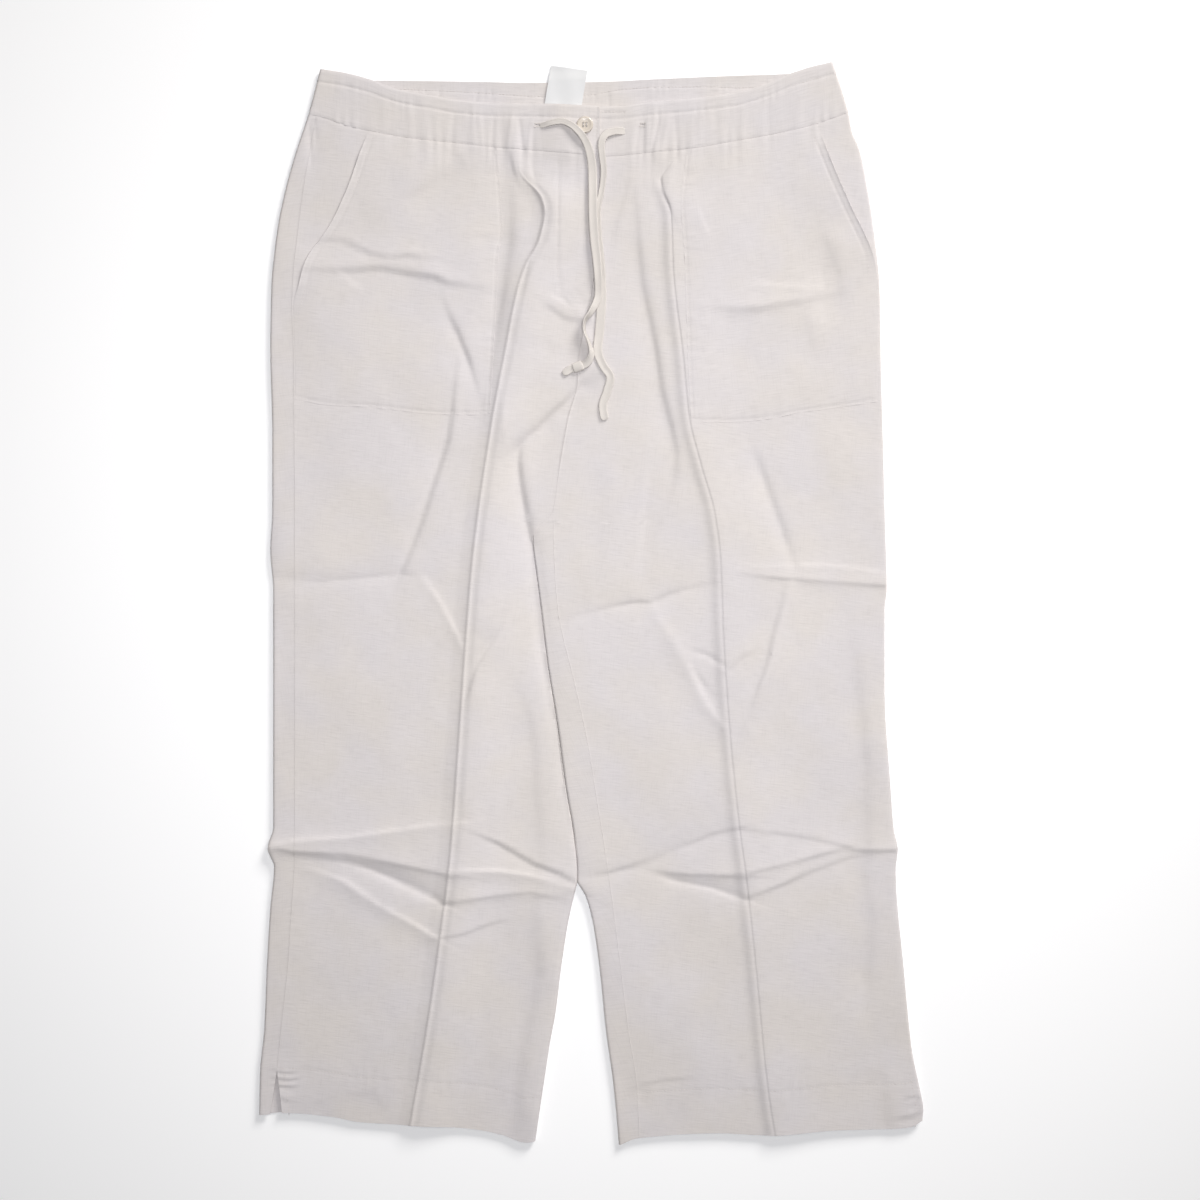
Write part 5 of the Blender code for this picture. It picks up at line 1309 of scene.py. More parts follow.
def make_button():
    """A turned resin disc with a raised rim and four thread holes."""
    radius = BUTTON_DIAMETER / 2
    mesh = bpy.data.meshes.new("button_disc")
    points = [(across * radius * MM, 0, up * BUTTON_HEIGHT * MM) for across, up in BUTTON_SECTION]
    mesh.from_pydata(points, [(i, i + 1) for i in range(len(points) - 1)], [])
    piece = new_piece("button_disc", mesh, RESIN)
    screw = piece.modifiers.new("turn", "SCREW")
    screw.steps = BUTTON_SIDES
    screw.render_steps = BUTTON_SIDES
    screw.use_merge_vertices = True
    screw.merge_threshold = MERGE_DISTANCE
    holes = bmesh.new()
    for angle in BUTTON_HOLE_ANGLES:
        out = Vector((math.cos(math.radians(angle)), math.sin(math.radians(angle)), 0))
        place = out * BUTTON_HOLE_RING + Vector((0, 0, BUTTON_HEIGHT / 2))
        made = bmesh.ops.create_cone(
            holes, cap_ends=True, segments=BUTTON_HOLE_SIDES, radius1=BUTTON_HOLE * MM,
            radius2=BUTTON_HOLE * MM, depth=2 * BUTTON_HEIGHT * MM)
        bmesh.ops.translate(holes, verts=made["verts"], vec=place * MM)
    hole_mesh = bpy.data.meshes.new("button_holes")
    holes.to_mesh(hole_mesh)
    holes.free()
    cutter = bpy.data.objects.new("button_holes", hole_mesh)
    pieces.objects.link(cutter)
    cut = piece.modifiers.new("holes", "BOOLEAN")
    cut.object = cutter
    settle(piece)
    bpy.data.objects.remove(cutter, do_unlink=True)
    piece.data.transform(Matrix.Translation(Vector((*BUTTON_PLACE, button_bottom())) * MM))
    piece.data.shade_smooth()
    piece.data.set_sharp_from_angle(angle=math.radians(RIM_ANGLE))
    return piece


# ---- drawstring ----
def smooth_route(route, spacing):
    """Even points on a Catmull-Rom curve through the route's rows (x, y, lift, turn)."""
    knots = np.array(route, dtype=float)
    knots = np.vstack((2 * knots[0] - knots[1], knots, 2 * knots[-1] - knots[-2]))
    fine = []
    for index in range(1, len(knots) - 2):
        before, start, end, after = knots[index - 1:index + 3]
        for t in np.linspace(0, 1, ROUTE_STEPS, endpoint=False):
            bend = 2 * before - 5 * start + 4 * end - after
            twist = 3 * start - before - 3 * end + after
            fine.append(start + 0.5 * t * ((end - before) + t * (bend + t * twist)))
    fine.append(knots[-2])
    fine = np.array(fine)
    run = np.concatenate(([0.0], np.cumsum(np.hypot(*np.diff(fine[:, :2], axis=0).T))))
    places = np.linspace(0, run[-1], round(run[-1] / spacing) + 1)
    return np.column_stack([np.interp(places, run, fine[:, k]) for k in range(fine.shape[1])])


def top_skin(x, y):
    """Highest cloth surface at each point, bands, fly and button included."""
    share = np.clip((y - follow(BAND_SEAM, x)) / BAND_HEIGHT, 0, 1)
    over = np.where(x < OVERLAP_EDGE + TAPE_MARGIN, overlap_rise(x), 0.0)
    band = band_mid(x, y, share) + over + BAND_CLOTH / 2
    raised = np.where(x < follow(CENTRE, y) + TAPE_MARGIN, fly_rise(x, y) + fly(x, y), 0.0)
    panel = top_mid(x, y) + raised + CLOTH / 2
    off_button = np.hypot(x - BUTTON_PLACE[0], y - BUTTON_PLACE[1])
    button = np.where(off_button < BUTTON_DIAMETER / 2 + TAPE_MARGIN,
                      button_bottom() + BUTTON_HEIGHT, 0.0)
    cloth = np.where(y > follow(BAND_SEAM, x) - TAPE_MARGIN, band, panel)
    return np.maximum(cloth, button)


def tape_places(route, widths):
    """Centre, side and up directions, width and place along, for each section of a tape."""
    points = smooth_route(route, TAPE_SPACING)
    x, y, lift, turn = points.T
    highest = np.zeros(len(points))
    for off_x in TAPE_FEELERS:
        for off_y in TAPE_FEELERS:
            highest = np.maximum(highest, top_skin(x + off_x, y + off_y))
    z = highest + TAPE_HEIGHT / 2 + TAPE_CLEARANCE + lift
    padded = np.pad(z, TAPE_SMOOTH // 2, "edge")
    z = np.maximum(z, np.convolve(padded, np.full(TAPE_SMOOTH, 1 / TAPE_SMOOTH), "valid"))
    for _ in range(TAPE_SETTLE):
        z = np.convolve(np.pad(z, 1, "edge"), (0.25, 0.5, 0.25), "valid")
    centre = np.column_stack((x, y, z))
    along = np.gradient(centre, axis=0)
    along /= np.linalg.norm(along, axis=1)[:, None]
    level = np.column_stack((along[:, 1], -along[:, 0], np.zeros(len(along))))
    level /= np.linalg.norm(level, axis=1)[:, None]
    up = np.cross(level, along)
    angle = np.radians(turn)[:, None]
    side = level * np.cos(angle) + up * np.sin(angle)
    normal = up * np.cos(angle) - level * np.sin(angle)
    share = np.linspace(0, 1, len(points))
    return centre, side, normal, follow(widths, share), share


def make_tube(name, rings, girth, length):
    """A closed tube through rings of points, its cloth map laid out by girth and length."""
    bm = bmesh.new()
    layer = bm.loops.layers.uv.new("cloth")
    rings = [[bm.verts.new(point * MM) for point in ring] for ring in rings]
    around = len(rings[0])
    for place in range(len(rings) - 1):
        for k in range(around):
            corners = ((place, k), (place, k + 1), (place + 1, k + 1), (place + 1, k))
            face = bm.faces.new([rings[ring][corner % around] for ring, corner in corners])
            for loop, (ring, corner) in zip(face.loops, corners):
                loop[layer].uv = (corner / around * girth * MM, length[ring] * MM)
    bm.faces.new(rings[0])
    bm.faces.new(reversed(rings[-1]))
    bmesh.ops.recalc_face_normals(bm, faces=bm.faces)
    mesh = bpy.data.meshes.new(name)
    bm.to_mesh(mesh)
    bm.free()
    piece = new_piece(name, mesh, TAPE)
    smooth = piece.modifiers.new("round", "SUBSURF")
    smooth.levels = 1
    smooth.render_levels = 1
    settle(piece)
    piece.data.shade_smooth()
    return piece


def make_tape(name, route, widths, wavelengths):
    """A drawstring end: a folded tape with thick edges, a crease along it and closed ends."""
    centre, side, normal, width, share = tape_places(route, widths)
    length = share * TAPE_SPACING * (len(share) - 1)
    crease = TAPE_CREASES[0] * np.sin(length / wavelengths[0] + TAPE_CREASE_PHASE)
    crease = crease + TAPE_CREASES[1] * np.sin(length / wavelengths[1])
    rings = []
    for place in range(len(share)):
        near_end = min(length[place], length[-1] - length[place])
        close = math.sqrt(1 - (1 - min(near_end / TAPE_END, 1.0)) ** 2)
        half_width = width[place] / 2 * mix(TAPE_TIP[0], 1, close)
        half_height = TAPE_HEIGHT / 2 * mix(TAPE_TIP[1], 1, close)
        ring = []
        for across, up in TAPE_SECTION:
            if up > 0 and abs(across) < TAPE_CREASE_HALF:
                up = up + crease[place] * (1 - (across / TAPE_CREASE_HALF) ** 2)
            ring.append(centre[place] + side[place] * across * half_width
                        + normal[place] * up * half_height)
        rings.append(ring)
    return make_tube(name, rings, 2 * TAPE_WIDTH, length), centre


def make_knot(name, route, widths):
    """The tape's end is pulled through a loop of itself: a short, tight sleeve."""
    centre, side, normal, width, share = tape_places(route, widths)
    places = np.flatnonzero((share > WRAP_PLACES[0]) & (share < WRAP_PLACES[1]))
    rings = []
    for step, place in enumerate(places):
        bulge = math.sin((step + 0.5) / len(places) * math.pi) ** KNOT_FULLNESS
        half_width = (width[place] / 2 + KNOT_CLOTH) * mix(KNOT_ENDS[0], 1, bulge)
        half_height = (TAPE_HEIGHT / 2 + KNOT_CLOTH) * mix(KNOT_ENDS[1], 1, bulge)
        ring = []
        for angle in np.arange(KNOT_SIDES) * 2 * math.pi / KNOT_SIDES:
            pleat = 1 + KNOT_PLEAT * math.sin(3 * angle + step)
            across = math.cos(angle) * half_width * pleat
            up = math.sin(angle) * half_height + KNOT_LIFT
            ring.append(centre[place] + side[place] * across + normal[place] * up)
        rings.append(ring)
    return make_tube(name, rings, 2 * TAPE_WIDTH, np.arange(len(places)) * TAPE_SPACING)


# ---- stitches ----
def add(tree, kind, values=None, links=None, **settings):
    """Adds a node with its settings, its input values and the sockets that feed it."""
    node = tree.nodes.new(kind)
    for name, value in settings.items():
        setattr(node, name, value)
    for name, value in (values or {}).items():
        node.inputs[name].default_value = value
    for name, source in (links or {}).items():
        tree.links.new(source, node.inputs[name])
    return node


def stitch_tree():
    """Geometry Nodes: a stitch of thread at every pitch along the lines of a mesh."""
    tree = bpy.data.node_groups.new("stitched line", "GeometryNodeTree")
    tree.interface.new_socket("Lines", in_out="INPUT", socket_type="NodeSocketGeometry")
    for name in STITCH_INPUTS:
        tree.interface.new_socket(name, in_out="INPUT", socket_type="NodeSocketFloat")
    tree.interface.new_socket("Thread", in_out="INPUT", socket_type="NodeSocketMaterial")
    tree.interface.new_socket("Stitches", in_out="OUTPUT", socket_type="NodeSocketGeometry")
    given = add(tree, "NodeGroupInput").outputs
    lines = add(tree, "GeometryNodeMeshToCurve", links={"Mesh": given["Lines"]})
    places = add(tree, "GeometryNodeCurveToPoints", mode="LENGTH",
                 links={"Curve": lines.outputs["Curve"], "Length": given["Pitch"]})
    turn = add(tree, "FunctionNodeAlignRotationToVector", axis="X",
               links={"Vector": places.outputs["Tangent"]})
    smallest, largest = STITCH_UNEVENNESS
    uneven = add(tree, "FunctionNodeRandomValue", data_type="FLOAT",
                 values={"Min": smallest, "Max": largest, "Seed": STITCH_SEED})
    size = add(tree, "ShaderNodeCombineXYZ",
               links={"X": given["Length"], "Y": given["Width"], "Z": given["Height"]})
    uneven_size = add(tree, "ShaderNodeVectorMath", operation="SCALE",
                      links={0: size.outputs[0], "Scale": uneven.outputs["Value"]})
    thread = add(tree, "GeometryNodeMeshUVSphere", {"Segments": 6, "Rings": 4, "Radius": 0.5})
    placed = add(tree, "GeometryNodeInstanceOnPoints", links={
        "Points": places.outputs["Points"], "Instance": thread.outputs["Mesh"],
        "Rotation": turn.outputs["Rotation"], "Scale": uneven_size.outputs[0]})
    real = add(tree, "GeometryNodeRealizeInstances",
               links={"Geometry": placed.outputs["Instances"]})
    smooth = add(tree, "GeometryNodeSetShadeSmooth", links={"Geometry": real.outputs[0]})
    finish = add(tree, "GeometryNodeSetMaterial",
                 links={"Geometry": smooth.outputs[0], "Material": given["Thread"]})
    add(tree, "NodeGroupOutput", links={0: finish.outputs[0]})
    return tree


def sew(name, tree, lines, stitch):
    """Stitches along lines of points, as one plain mesh."""
    points = []
    edges = []
    for line in lines:
        first = len(points)
        points.extend(np.asarray(line) * MM)
        edges.extend((k, k + 1) for k in range(first, first + len(line) - 1))
    mesh = bpy.data.meshes.new(name)
    mesh.from_pydata(points, edges, [])
    piece = new_piece(name, mesh, THREAD)
    sewn = piece.modifiers.new("stitches", "NODES")
    sewn.node_group = tree
    given = {kind: size * MM for kind, size in zip(STITCH_INPUTS, stitch)}
    given["Thread"] = THREAD
    for socket in tree.interface.items_tree:
        if socket.in_out == "INPUT" and socket.name in given:
            sewn[socket.identifier] = given[socket.name]
    return settle(piece)


def traced(rows, surface):
    """A smooth line through rows (x, y), laid on a surface."""
    x, y = smooth_route(rows, 1.0).T
    return np.column_stack((x, y, surface(x, y)))


def straight(place):
    """The same place all along a line."""
    return lambda along: np.full(np.shape(along), place)


def along_x(start, end, place, surface):
    """A line from one x to another, at the y that place(x) gives, laid on a surface."""
    x = np.linspace(start, end, max(int(abs(end - start)), 3))
    y = place(x)
    return np.column_stack((x, y, surface(x, y)))


def along_y(start, end, place, surface):
    """The same from one y to another."""
    y = np.linspace(start, end, max(int(abs(end - start)), 3))
    x = place(y)
    return np.column_stack((x, y, surface(x, y)))


def panel_top(x, y):
    return top_mid(x, y) + CLOTH / 2


def fly_top(x, y):
    return panel_top(x, y) + fly_rise(x, y) + fly(x, y)


def band_share(x, y):
    foot = follow(BAND_SEAM, x)
    return np.clip((y - foot) / (follow(FRONT_TOP, x) - foot), 0, 1)


def right_band_top(x, y):
    return band_mid(x, y, band_share(x, y)) + overlap_rise(x) + BAND_CLOTH / 2


def left_band_top(x, y):
    return band_mid(x, y, band_share(x, y), ease(*UNDERLAP_SMOOTH, x)) + BAND_CLOTH / 2


def back_band_top(x, y):
    height = BACK_BAND_MID + BACK_FACING_STEP / 2 + BACK_WAVE + BAND_CLOTH / 2
    return np.full(np.shape(x), height)


def panel_lines():
    """The fly, the hems and the slits."""
    return [
        traced(FLY_STITCH, fly_top),
        along_x(*HEM_LINE_R, lambda x: follow(HEM_RIGHT_LEG, x) + HEM_DEPTH, panel_top),
        along_x(*HEM_LINE_L, lambda x: follow(HEM_LEFT_LEG, x) + HEM_DEPTH, panel_top),
        along_y(*SLIT_LINE_R, lambda y: follow(SLIT_FRONT_EDGE, y) + SLIT_FACING, panel_top),
        along_y(*SLIT_LINE_L, lambda y: follow(OUTER_LEFT_LEG, y) - SLIT_FACING, panel_top),
    ]


def topstitch(x):
    return follow(FRONT_TOP, x) - TOPSTITCH_DEPTH


def band_lines():
    """The channel's upper edge, the overlap's edge, the back facing and the tab's outline."""
    (upper, _, _), (lower, _, tab_end) = TAB_LINES
    lines = [
        along_x(*TOPSTITCH_LINE_R, topstitch, right_band_top),
        along_y(*OVERLAP_LINE, straight(OVERLAP_EDGE - TAB_STITCH), right_band_top),
        along_x(*TOPSTITCH_LINE_L, topstitch, left_band_top),
        along_x(*BACK_LINE, lambda x: follow(BACK_FACING, x) + BACK_LINE_OFF, back_band_top),
        along_y(lower, upper, straight(tab_end), left_band_top),
    ]
    for y, start, end in TAB_LINES:
        lines.append(along_x(start, end, straight(y), left_band_top))
    return lines


def pocket_lines(outer, inner, foot, mouth_foot):
    """A patch's inner side, its foot and its mouth."""
    def patch_top(x, y):
        return patch_mid(outer, inner, foot, mouth_foot, x, y) + CLOTH / 2

    foot_y, inner_y, outer_y, top_y = PATCH_CORNERS
    inward = math.copysign(1.0, follow(outer, POCKET_GUESS_Y) - follow(inner, POCKET_GUESS_Y))
    top = follow(BAND_SEAM, follow(inner, top_y)) - PATCH_LINE_TOP
    low = follow(foot, follow(inner, foot_y)) + PATCH_STITCH
    ends = sorted((follow(inner, inner_y) + inward * PATCH_STITCH,
                   follow(outer, outer_y) - inward * PATCH_STITCH))
    return [
        along_y(low, top, lambda y: follow(inner, y) + inward * PATCH_STITCH, patch_top),
        along_x(*ends, lambda x: follow(foot, x) + PATCH_STITCH, patch_top),
        along_y(mouth_foot, MOUTH_LINE_TOP, lambda y: follow(outer, y) - inward * MOUTH_STITCH,
                patch_top),
    ]


def buttonhole_lines():
    """Satin stitches along both sides and across both ends of each buttonhole."""
    lines = []
    for start, end, y in BUTTONHOLES:
        surface = right_band_top if start < 0 else left_band_top
        for side in (-LIP_SIDE, LIP_SIDE):
            lines.append(along_x(start, end, straight(y + side), surface))
        for place in (start - LIP_END, end + LIP_END):
            lines.append(along_y(y - LIP_RING, y + LIP_RING, straight(place), surface))
    return lines


def button_lines():
    """Two bars of thread, each through two of the button's holes."""
    x, y = BUTTON_PLACE
    top = button_bottom() + BUTTON_HEIGHT * BUTTON_SECTION[0][1] + BUTTON_THREAD_LIFT
    reach = BUTTON_HOLE_RING * math.sqrt(0.5)
    return [[(x + side, y + along, top) for along in (-reach, 0, reach)]
            for side in (-reach, reach)]


def sew_everything():
    pockets = [line for pocket in POCKETS for line in pocket_lines(*pocket)]
    tree = stitch_tree()
    return [sew("panel_stitches", tree, panel_lines(), RUNNING_STITCH),
            sew("band_stitches", tree, band_lines(), RUNNING_STITCH),
            sew("pocket_stitches", tree, pockets, RUNNING_STITCH),
            sew("buttonhole_stitches", tree, buttonhole_lines(), SATIN_STITCH),
            sew("button_thread", tree, button_lines(), BUTTON_STITCH)]


# ---- materials ----
def linear(hex_colour):
    """Blender's linear colour for an sRGB hex value."""
    channels = [int(hex_colour[k:k + 2], 16) / 255 for k in (1, 3, 5)]
    return [c / 12.92 if c <= 0.04045 else ((c + 0.055) / 1.055) ** 2.4 for c in channels] + [1.0]


def new_material(name, colour, roughness):
    """A named material whose shader has its base colour and roughness."""
    made = bpy.data.materials.new(name)
    made.use_nodes = True
    shader = made.node_tree.nodes["Principled BSDF"]
    shader.inputs["Base Color"].default_value = linear(colour)
    shader.inputs["Roughness"].default_value = roughness
    return made, made.node_tree, shader


def streaks(tree, place, weft_mm, warp_mm, low, high):
    """Threads that are thicker for a stretch: noise drawn out to a size along weft and warp."""
    drawn = add(tree, "ShaderNodeVectorMath", {1: (1 / (weft_mm * MM), 1 / (warp_mm * MM), 1.0)},
                {0: place}, operation="MULTIPLY")
    noise = add(tree, "ShaderNodeTexNoise", {"Scale": 1.0, "Detail": 1.0, "Roughness": 0.5},
                {"Vector": drawn.outputs[0]}, noise_dimensions="2D")
    return add(tree, "ShaderNodeMapRange", {"From Min": low, "From Max": high},
               {"Value": noise.outputs["Fac"]}).outputs["Result"]


def thread_waves(tree, place, direction, spacing_mm):
    """Raised threads side by side, as a wave across the cloth."""
    return add(tree, "ShaderNodeTexWave", {"Scale": WAVE_PERIOD / (spacing_mm * MM),
                                           "Distortion": 1.2, "Detail": 1.0, "Detail Scale": 0.6},
               {"Vector": place}, bands_direction=direction).outputs["Fac"]


def weighted_sum(tree, first, *others):
    """Sum of sockets, each (socket, factor)."""
    result = add(tree, "ShaderNodeMath", {1: first[1]}, {0: first[0]},
                 operation="MULTIPLY").outputs[0]
    for socket, factor in others:
        result = add(tree, "ShaderNodeMath", {1: factor}, {0: socket, 2: result},
                     operation="MULTIPLY_ADD").outputs[0]
    return result


def shade_base(tree, shader, base, level, shade):
    """Multiplies a base colour by a level plus a shade; returns the node that does it."""
    lit = add(tree, "ShaderNodeMath", {1: level}, {0: shade}, operation="ADD")
    colour = add(tree, "ShaderNodeMix", {"Factor": 1.0, "A": linear(base)},
                 {"B": lit.outputs[0]}, data_type="RGBA", blend_type="MULTIPLY")
    tree.links.new(colour.outputs["Result"], shader.inputs["Base Color"])
    return colour


def blend_base(tree, shader, base, other, share):
    """Blends a base colour towards another by a socket's share."""
    colour = add(tree, "ShaderNodeMix", {"A": linear(base), "B": linear(other)},
                 {"Factor": share}, data_type="RGBA")
    tree.links.new(colour.outputs["Result"], shader.inputs["Base Color"])


def linen_material():
    """Linen and viscose, plain woven and washed: matt, with thick places in its weft that
    show as short streaks, soft clouds of shade and tint 60 to 80 mm wide, and a faint bloom
    at grazing angles.  The threads are 0.4 mm in the real cloth and are drawn 0.8 mm wide, so
    that they show."""
    made, tree, shader = new_material("washed linen viscose weave", CLOTH_COLOUR, 0.86)
    place = add(tree, "ShaderNodeUVMap", uv_map="cloth").outputs["UV"]
    solid = add(tree, "ShaderNodeTexCoord").outputs["Object"]
    weft_slub = streaks(tree, place, 11, 1.1, 0.48, 0.80)
    weft_thin = streaks(tree, place, 16, 1.3, 0.52, 0.28)
    warp_slub = streaks(tree, place, 1.2, 14, 0.50, 0.80)
    weft = thread_waves(tree, place, "Y", 0.8)
    warp = thread_waves(tree, place, "X", 0.8)
    clouds = add(tree, "ShaderNodeTexNoise", {"Scale": 16.0, "Detail": 2.0}, {"Vector": solid})
    tints = add(tree, "ShaderNodeTexNoise", {"Scale": 13.0, "Detail": 2.0, "Roughness": 0.6},
                {"Vector": solid})
    patches = add(tree, "ShaderNodeMapRange", {"From Min": 0.38, "From Max": 0.62},
                  {"Value": tints.outputs["Fac"]}).outputs["Result"]
    tint = add(tree, "ShaderNodeMix", {"A": linear(CLOTH_COLOUR), "B": linear(CLOTH_COOL)},
               {"Factor": patches}, data_type="RGBA")
    shade = weighted_sum(tree, (weft_slub, -0.054), (weft_thin, 0.030), (warp_slub, -0.034),
                         (weft, 0.014), (warp, 0.012), (clouds.outputs["Fac"], 0.050))
    shaded = shade_base(tree, shader, CLOTH_COLOUR, 0.972, shade)
    tree.links.new(tint.outputs["Result"], shaded.inputs["A"])
    height = weighted_sum(tree, (weft, 0.35), (warp, 0.30), (weft_slub, 0.4),
                          (weft_thin, -0.2), (warp_slub, 0.25))
    bump = add(tree, "ShaderNodeBump", {"Strength": 0.4, "Distance": 0.00016},
               {"Height": height})
    tree.links.new(bump.outputs["Normal"], shader.inputs["Normal"])
    shader.inputs["Sheen Weight"].default_value = 0.12
    shader.inputs["Sheen Roughness"].default_value = 0.5
    shader.inputs["Specular IOR Level"].default_value = 0.3
    return made


def tape_material():
    """Self-fabric tape, cut on the bias, folded and sewn: a warmer cream than the cloth, with
    a fine diagonal weave, as coarse as the cloth's, and a fuzz in tufts of about 4 mm."""
    made, tree, shader = new_material("folded bias tape", TAPE_COLOUR, 0.8)
    place = add(tree, "ShaderNodeUVMap", uv_map="cloth").outputs["UV"]
    turned = add(tree, "ShaderNodeMapping", {"Rotation": (0, 0, math.radians(45))},
                 {"Vector": place})
    one = thread_waves(tree, turned.outputs[0], "X", 0.8)
    other = thread_waves(tree, turned.outputs[0], "Y", 0.8)
    fuzz = add(tree, "ShaderNodeTexNoise", {"Scale": 260.0, "Detail": 2.0}, {"Vector": place})
    shade = weighted_sum(tree, (one, 0.03), (other, 0.03), (fuzz.outputs["Fac"], 0.07))
    shade_base(tree, shader, TAPE_COLOUR, 0.92, shade)
    height = weighted_sum(tree, (one, 0.5), (other, 0.5), (fuzz.outputs["Fac"], 0.6))
    bump = add(tree, "ShaderNodeBump", {"Strength": 0.5, "Distance": 0.0002},
               {"Height": height})
    tree.links.new(bump.outputs["Normal"], shader.inputs["Normal"])
    shader.inputs["Sheen Weight"].default_value = 0.1
    shader.inputs["Specular IOR Level"].default_value = 0.3
    return made


def satin_material():
    """Woven satin ribbon: white, with a soft shine drawn along its fine ribs and faint clouds
    about 8 mm wide."""
    made, tree, shader = new_material("white satin ribbon", LABEL_COLOUR, 0.38)
    place = add(tree, "ShaderNodeUVMap", uv_map="cloth").outputs["UV"]
    ribs = thread_waves(tree, place, "Y", 0.7)
    clouds = add(tree, "ShaderNodeTexNoise", {"Scale": 120.0, "Detail": 2.0}, {"Vector": place})
    shade = weighted_sum(tree, (ribs, 0.02), (clouds.outputs["Fac"], 0.03))
    shade_base(tree, shader, LABEL_COLOUR, 0.965, shade)
    bump = add(tree, "ShaderNodeBump", {"Strength": 0.3, "Distance": 0.0001}, {"Height": ribs})
    tree.links.new(bump.outputs["Normal"], shader.inputs["Normal"])
    shader.inputs["Sheen Weight"].default_value = 0.1
    return made


def resin_material():
    """Cast polyester resin, tumbled to a polish: cream with faint swirls about 4 mm wide."""
    made, tree, shader = new_material("polished cast resin", BUTTON_COLOUR, 0.34)
    place = add(tree, "ShaderNodeTexCoord").outputs["Object"]
    swirl = add(tree, "ShaderNodeTexNoise", {"Scale": 240.0, "Detail": 3.0, "Distortion": 1.5},
                {"Vector": place})
    blend_base(tree, shader, BUTTON_COLOUR, BUTTON_PALE, swirl.outputs["Fac"])
    shader.inputs["Coat Weight"].default_value = 0.15
    return made


def thread_material():
    """Spun polyester sewing thread, a little darker than the cloth it sinks into, with a twist
    of about 0.4 mm."""
    made, tree, shader = new_material("spun polyester thread", THREAD_COLOUR, 0.7)
    place = add(tree, "ShaderNodeTexCoord").outputs["Object"]
    twist = add(tree, "ShaderNodeTexNoise", {"Scale": 2600.0, "Detail": 1.0}, {"Vector": place})
    blend_base(tree, shader, THREAD_COLOUR, CLOTH_COLOUR, twist.outputs["Fac"])
    return made


def floor_material():
    """Matt seamless paper, nearly white, with a faint grain of about 1 mm."""
    made, tree, shader = new_material("matt backdrop paper", FLOOR_COLOUR, 0.95)
    place = add(tree, "ShaderNodeTexCoord").outputs["Object"]
    grain = add(tree, "ShaderNodeTexNoise", {"Scale": 900.0, "Detail": 2.0}, {"Vector": place})
    bump = add(tree, "ShaderNodeBump", {"Strength": 0.1, "Distance": 0.0001},
               {"Height": grain.outputs["Fac"]})
    tree.links.new(bump.outputs["Normal"], shader.inputs["Normal"])
    shader.inputs["Specular IOR Level"].default_value = 0.1
    return made


# ---- camera, light and floor ----
def aim(thing, target):
    direction = Vector(target) - thing.location
    thing.rotation_euler = direction.to_track_quat("-Z", "Y").to_euler()


def add_camera():
    """Looks straight down, with the waist at the top of the picture."""
    camera = bpy.data.objects.new("camera", bpy.data.cameras.new("camera"))
    camera.data.lens = CAMERA_LENS
    camera.data.sensor_width = 36.0
    camera.location = [place * MM for place in CAMERA_PLACE]
    bpy.context.scene.collection.objects.link(camera)
    bpy.context.scene.camera = camera


def add_light(name, place, size, spread, watts, colour):
    light = bpy.data.objects.new(name, bpy.data.lights.new(name, "AREA"))
    light.data.shape = "SQUARE"
    light.data.size = size
    light.data.spread = math.radians(spread)
    light.data.energy = watts
    light.data.color = linear(colour)[:3]
    light.location = place
    aim(light, (0, 0, 0))
    bpy.context.scene.collection.objects.link(light)


def add_surroundings():
    """A dim white room, the lights and a sheet of paper as the floor."""
    scene = bpy.context.scene
    scene.view_settings.view_transform = "Standard"
    scene.world = bpy.data.worlds.new("soft room")
    scene.world.use_nodes = True
    sky = scene.world.node_tree.nodes["Background"]
    sky.inputs["Color"].default_value = linear(ROOM_COLOUR)
    sky.inputs["Strength"].default_value = ROOM_STRENGTH
    for light in LIGHTS:
        add_light(*light)
    mesh = bpy.data.meshes.new("floor")
    bm = bmesh.new()
    bmesh.ops.create_grid(bm, x_segments=2, y_segments=2, size=FLOOR_SIZE / 2)
    bmesh.ops.translate(bm, verts=bm.verts, vec=(0, 0, -FLOOR_DROP))
    bm.to_mesh(mesh)
    bm.free()
    floor = bpy.data.objects.new("floor", mesh)
    mesh.materials.append(floor_material())
    scene.collection.objects.link(floor)


# ---- build ----
pieces = bpy.data.collections.new("capri pants")
bpy.context.scene.collection.children.link(pieces)
add_camera()
add_surroundings()
LINEN = linen_material()
TAPE = tape_material()
SATIN = satin_material()
RESIN = resin_material()
THREAD = thread_material()

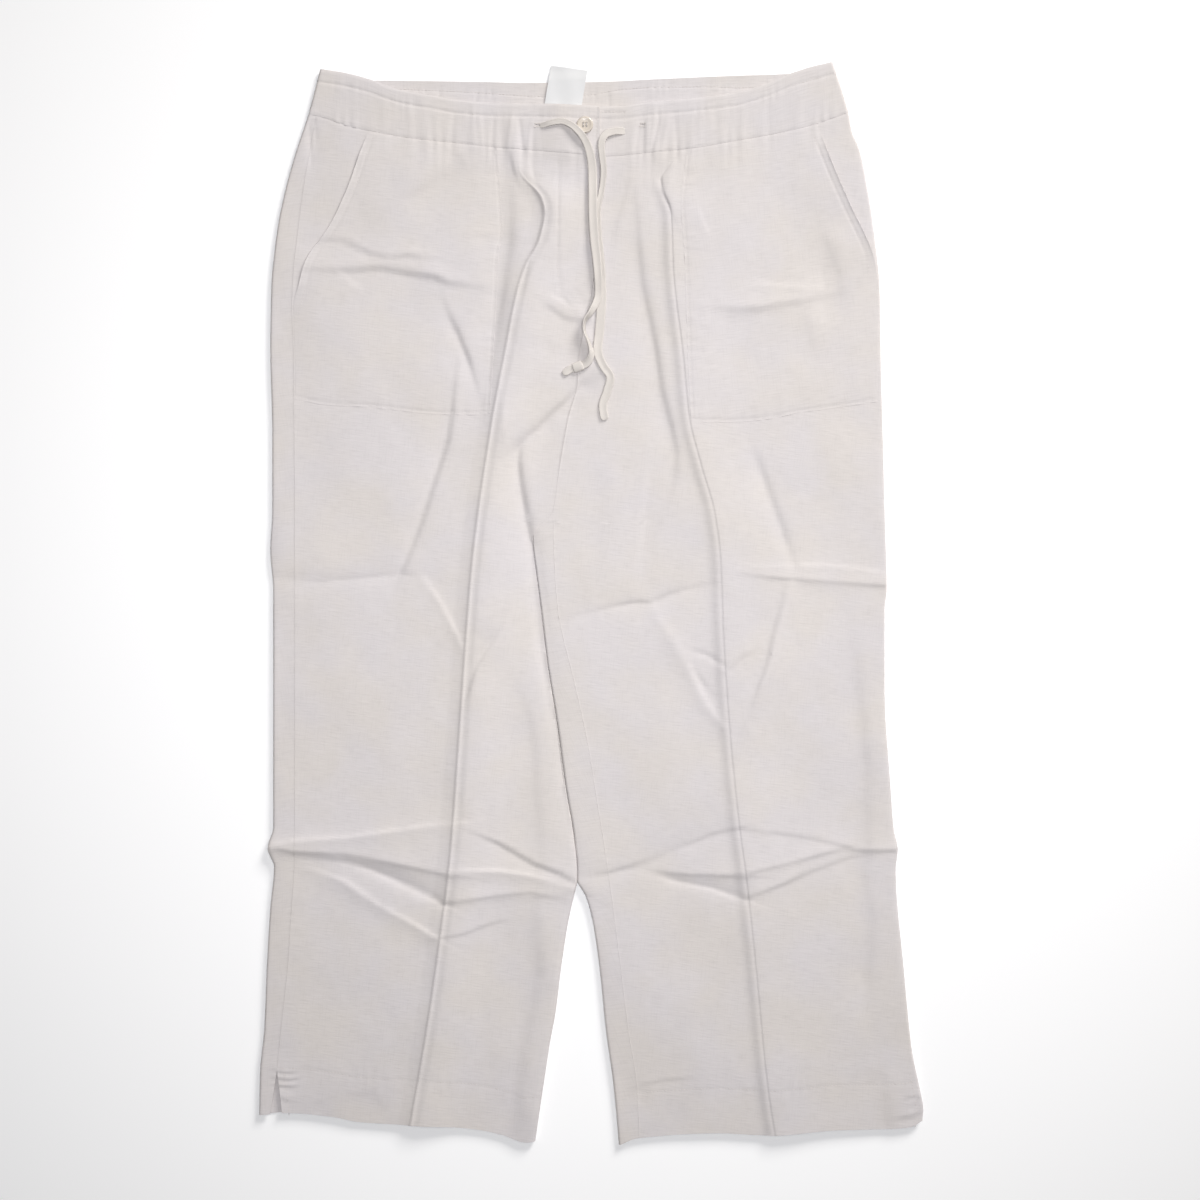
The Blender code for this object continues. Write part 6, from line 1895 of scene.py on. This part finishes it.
# each cord: (piece, node, route, widths, wavelengths of its crease, length in metres)
cords = (
    ("drawstring_right", "drawstring_r", DRAWSTRING_RIGHT, TAPE_WIDTHS_RIGHT, (31.0, 9.0), 0.262),
    ("drawstring_left", "drawstring_l", DRAWSTRING_LEFT, TAPE_WIDTHS_LEFT, (23.0, 12.0), 0.266),
)
knot = make_knot("drawstring_knot", DRAWSTRING_RIGHT, TAPE_WIDTHS_RIGHT)
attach(knot, "root")
for name, node, route, widths, wavelengths, length in cords:
    tape, centre = make_tape(name, route, widths, wavelengths)
    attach(tape, "root")
    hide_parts(node)

# each sheet: (piece, node, flat sides in metres, flat area, what it rests on)
sheets = (
    (make_back("back_right", RIGHT_HALF, BACK_COLUMNS, -GRAIN, math.inf),
     "back_panel_r", (0.300, 0.862), 0.226, ["floor"]),
    (make_back("back_left", LEFT_HALF, BACK_COLUMNS, -GRAIN, STRIP_TOP_Y),
     "back_panel_l", (0.320, 0.870), 0.236, ["floor"]),
    (make_front("front_right", RIGHT_HALF, FRONT_R_COLUMNS, -GRAIN, True),
     "front_panel_r", (0.262, 0.862), 0.193, ["back_right"]),
    (make_front("front_left", LEFT_HALF, FRONT_L_COLUMNS, -GRAIN, False),
     "front_panel_l", (0.285, 0.860), 0.213, ["back_left"]),
    (make_band_back(), "waistband_back", (0.046, 0.465), 0.0186, ["floor"]),
    (make_band_right(), "waistband_front_r", (0.042, 0.250), 0.0096, ["waistband_back_inside"]),
    (make_band_left(), "waistband_front_l", (0.042, 0.250), 0.0098, ["waistband_back_inside"]),
    (make_pocket("pocket_right", *POCKETS[0], -GRAIN), "pocket_r", (0.168, 0.245), 0.0352,
     ["front_right"]),
    (make_pocket("pocket_left", *POCKETS[1], GRAIN), "pocket_l", (0.168, 0.245), 0.0357,
     ["front_left"]),
    (make_label(), "care_label", (0.031, 0.0375), None, ["waistband_back_inside"]),
)
for sheet, node, flat, area, under in sheets:
    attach(sheet, "root")
    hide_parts(node)

button = make_button()
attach(button, "root")
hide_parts("waist_button")
for stitches in sew_everything():
    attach(stitches, "root")
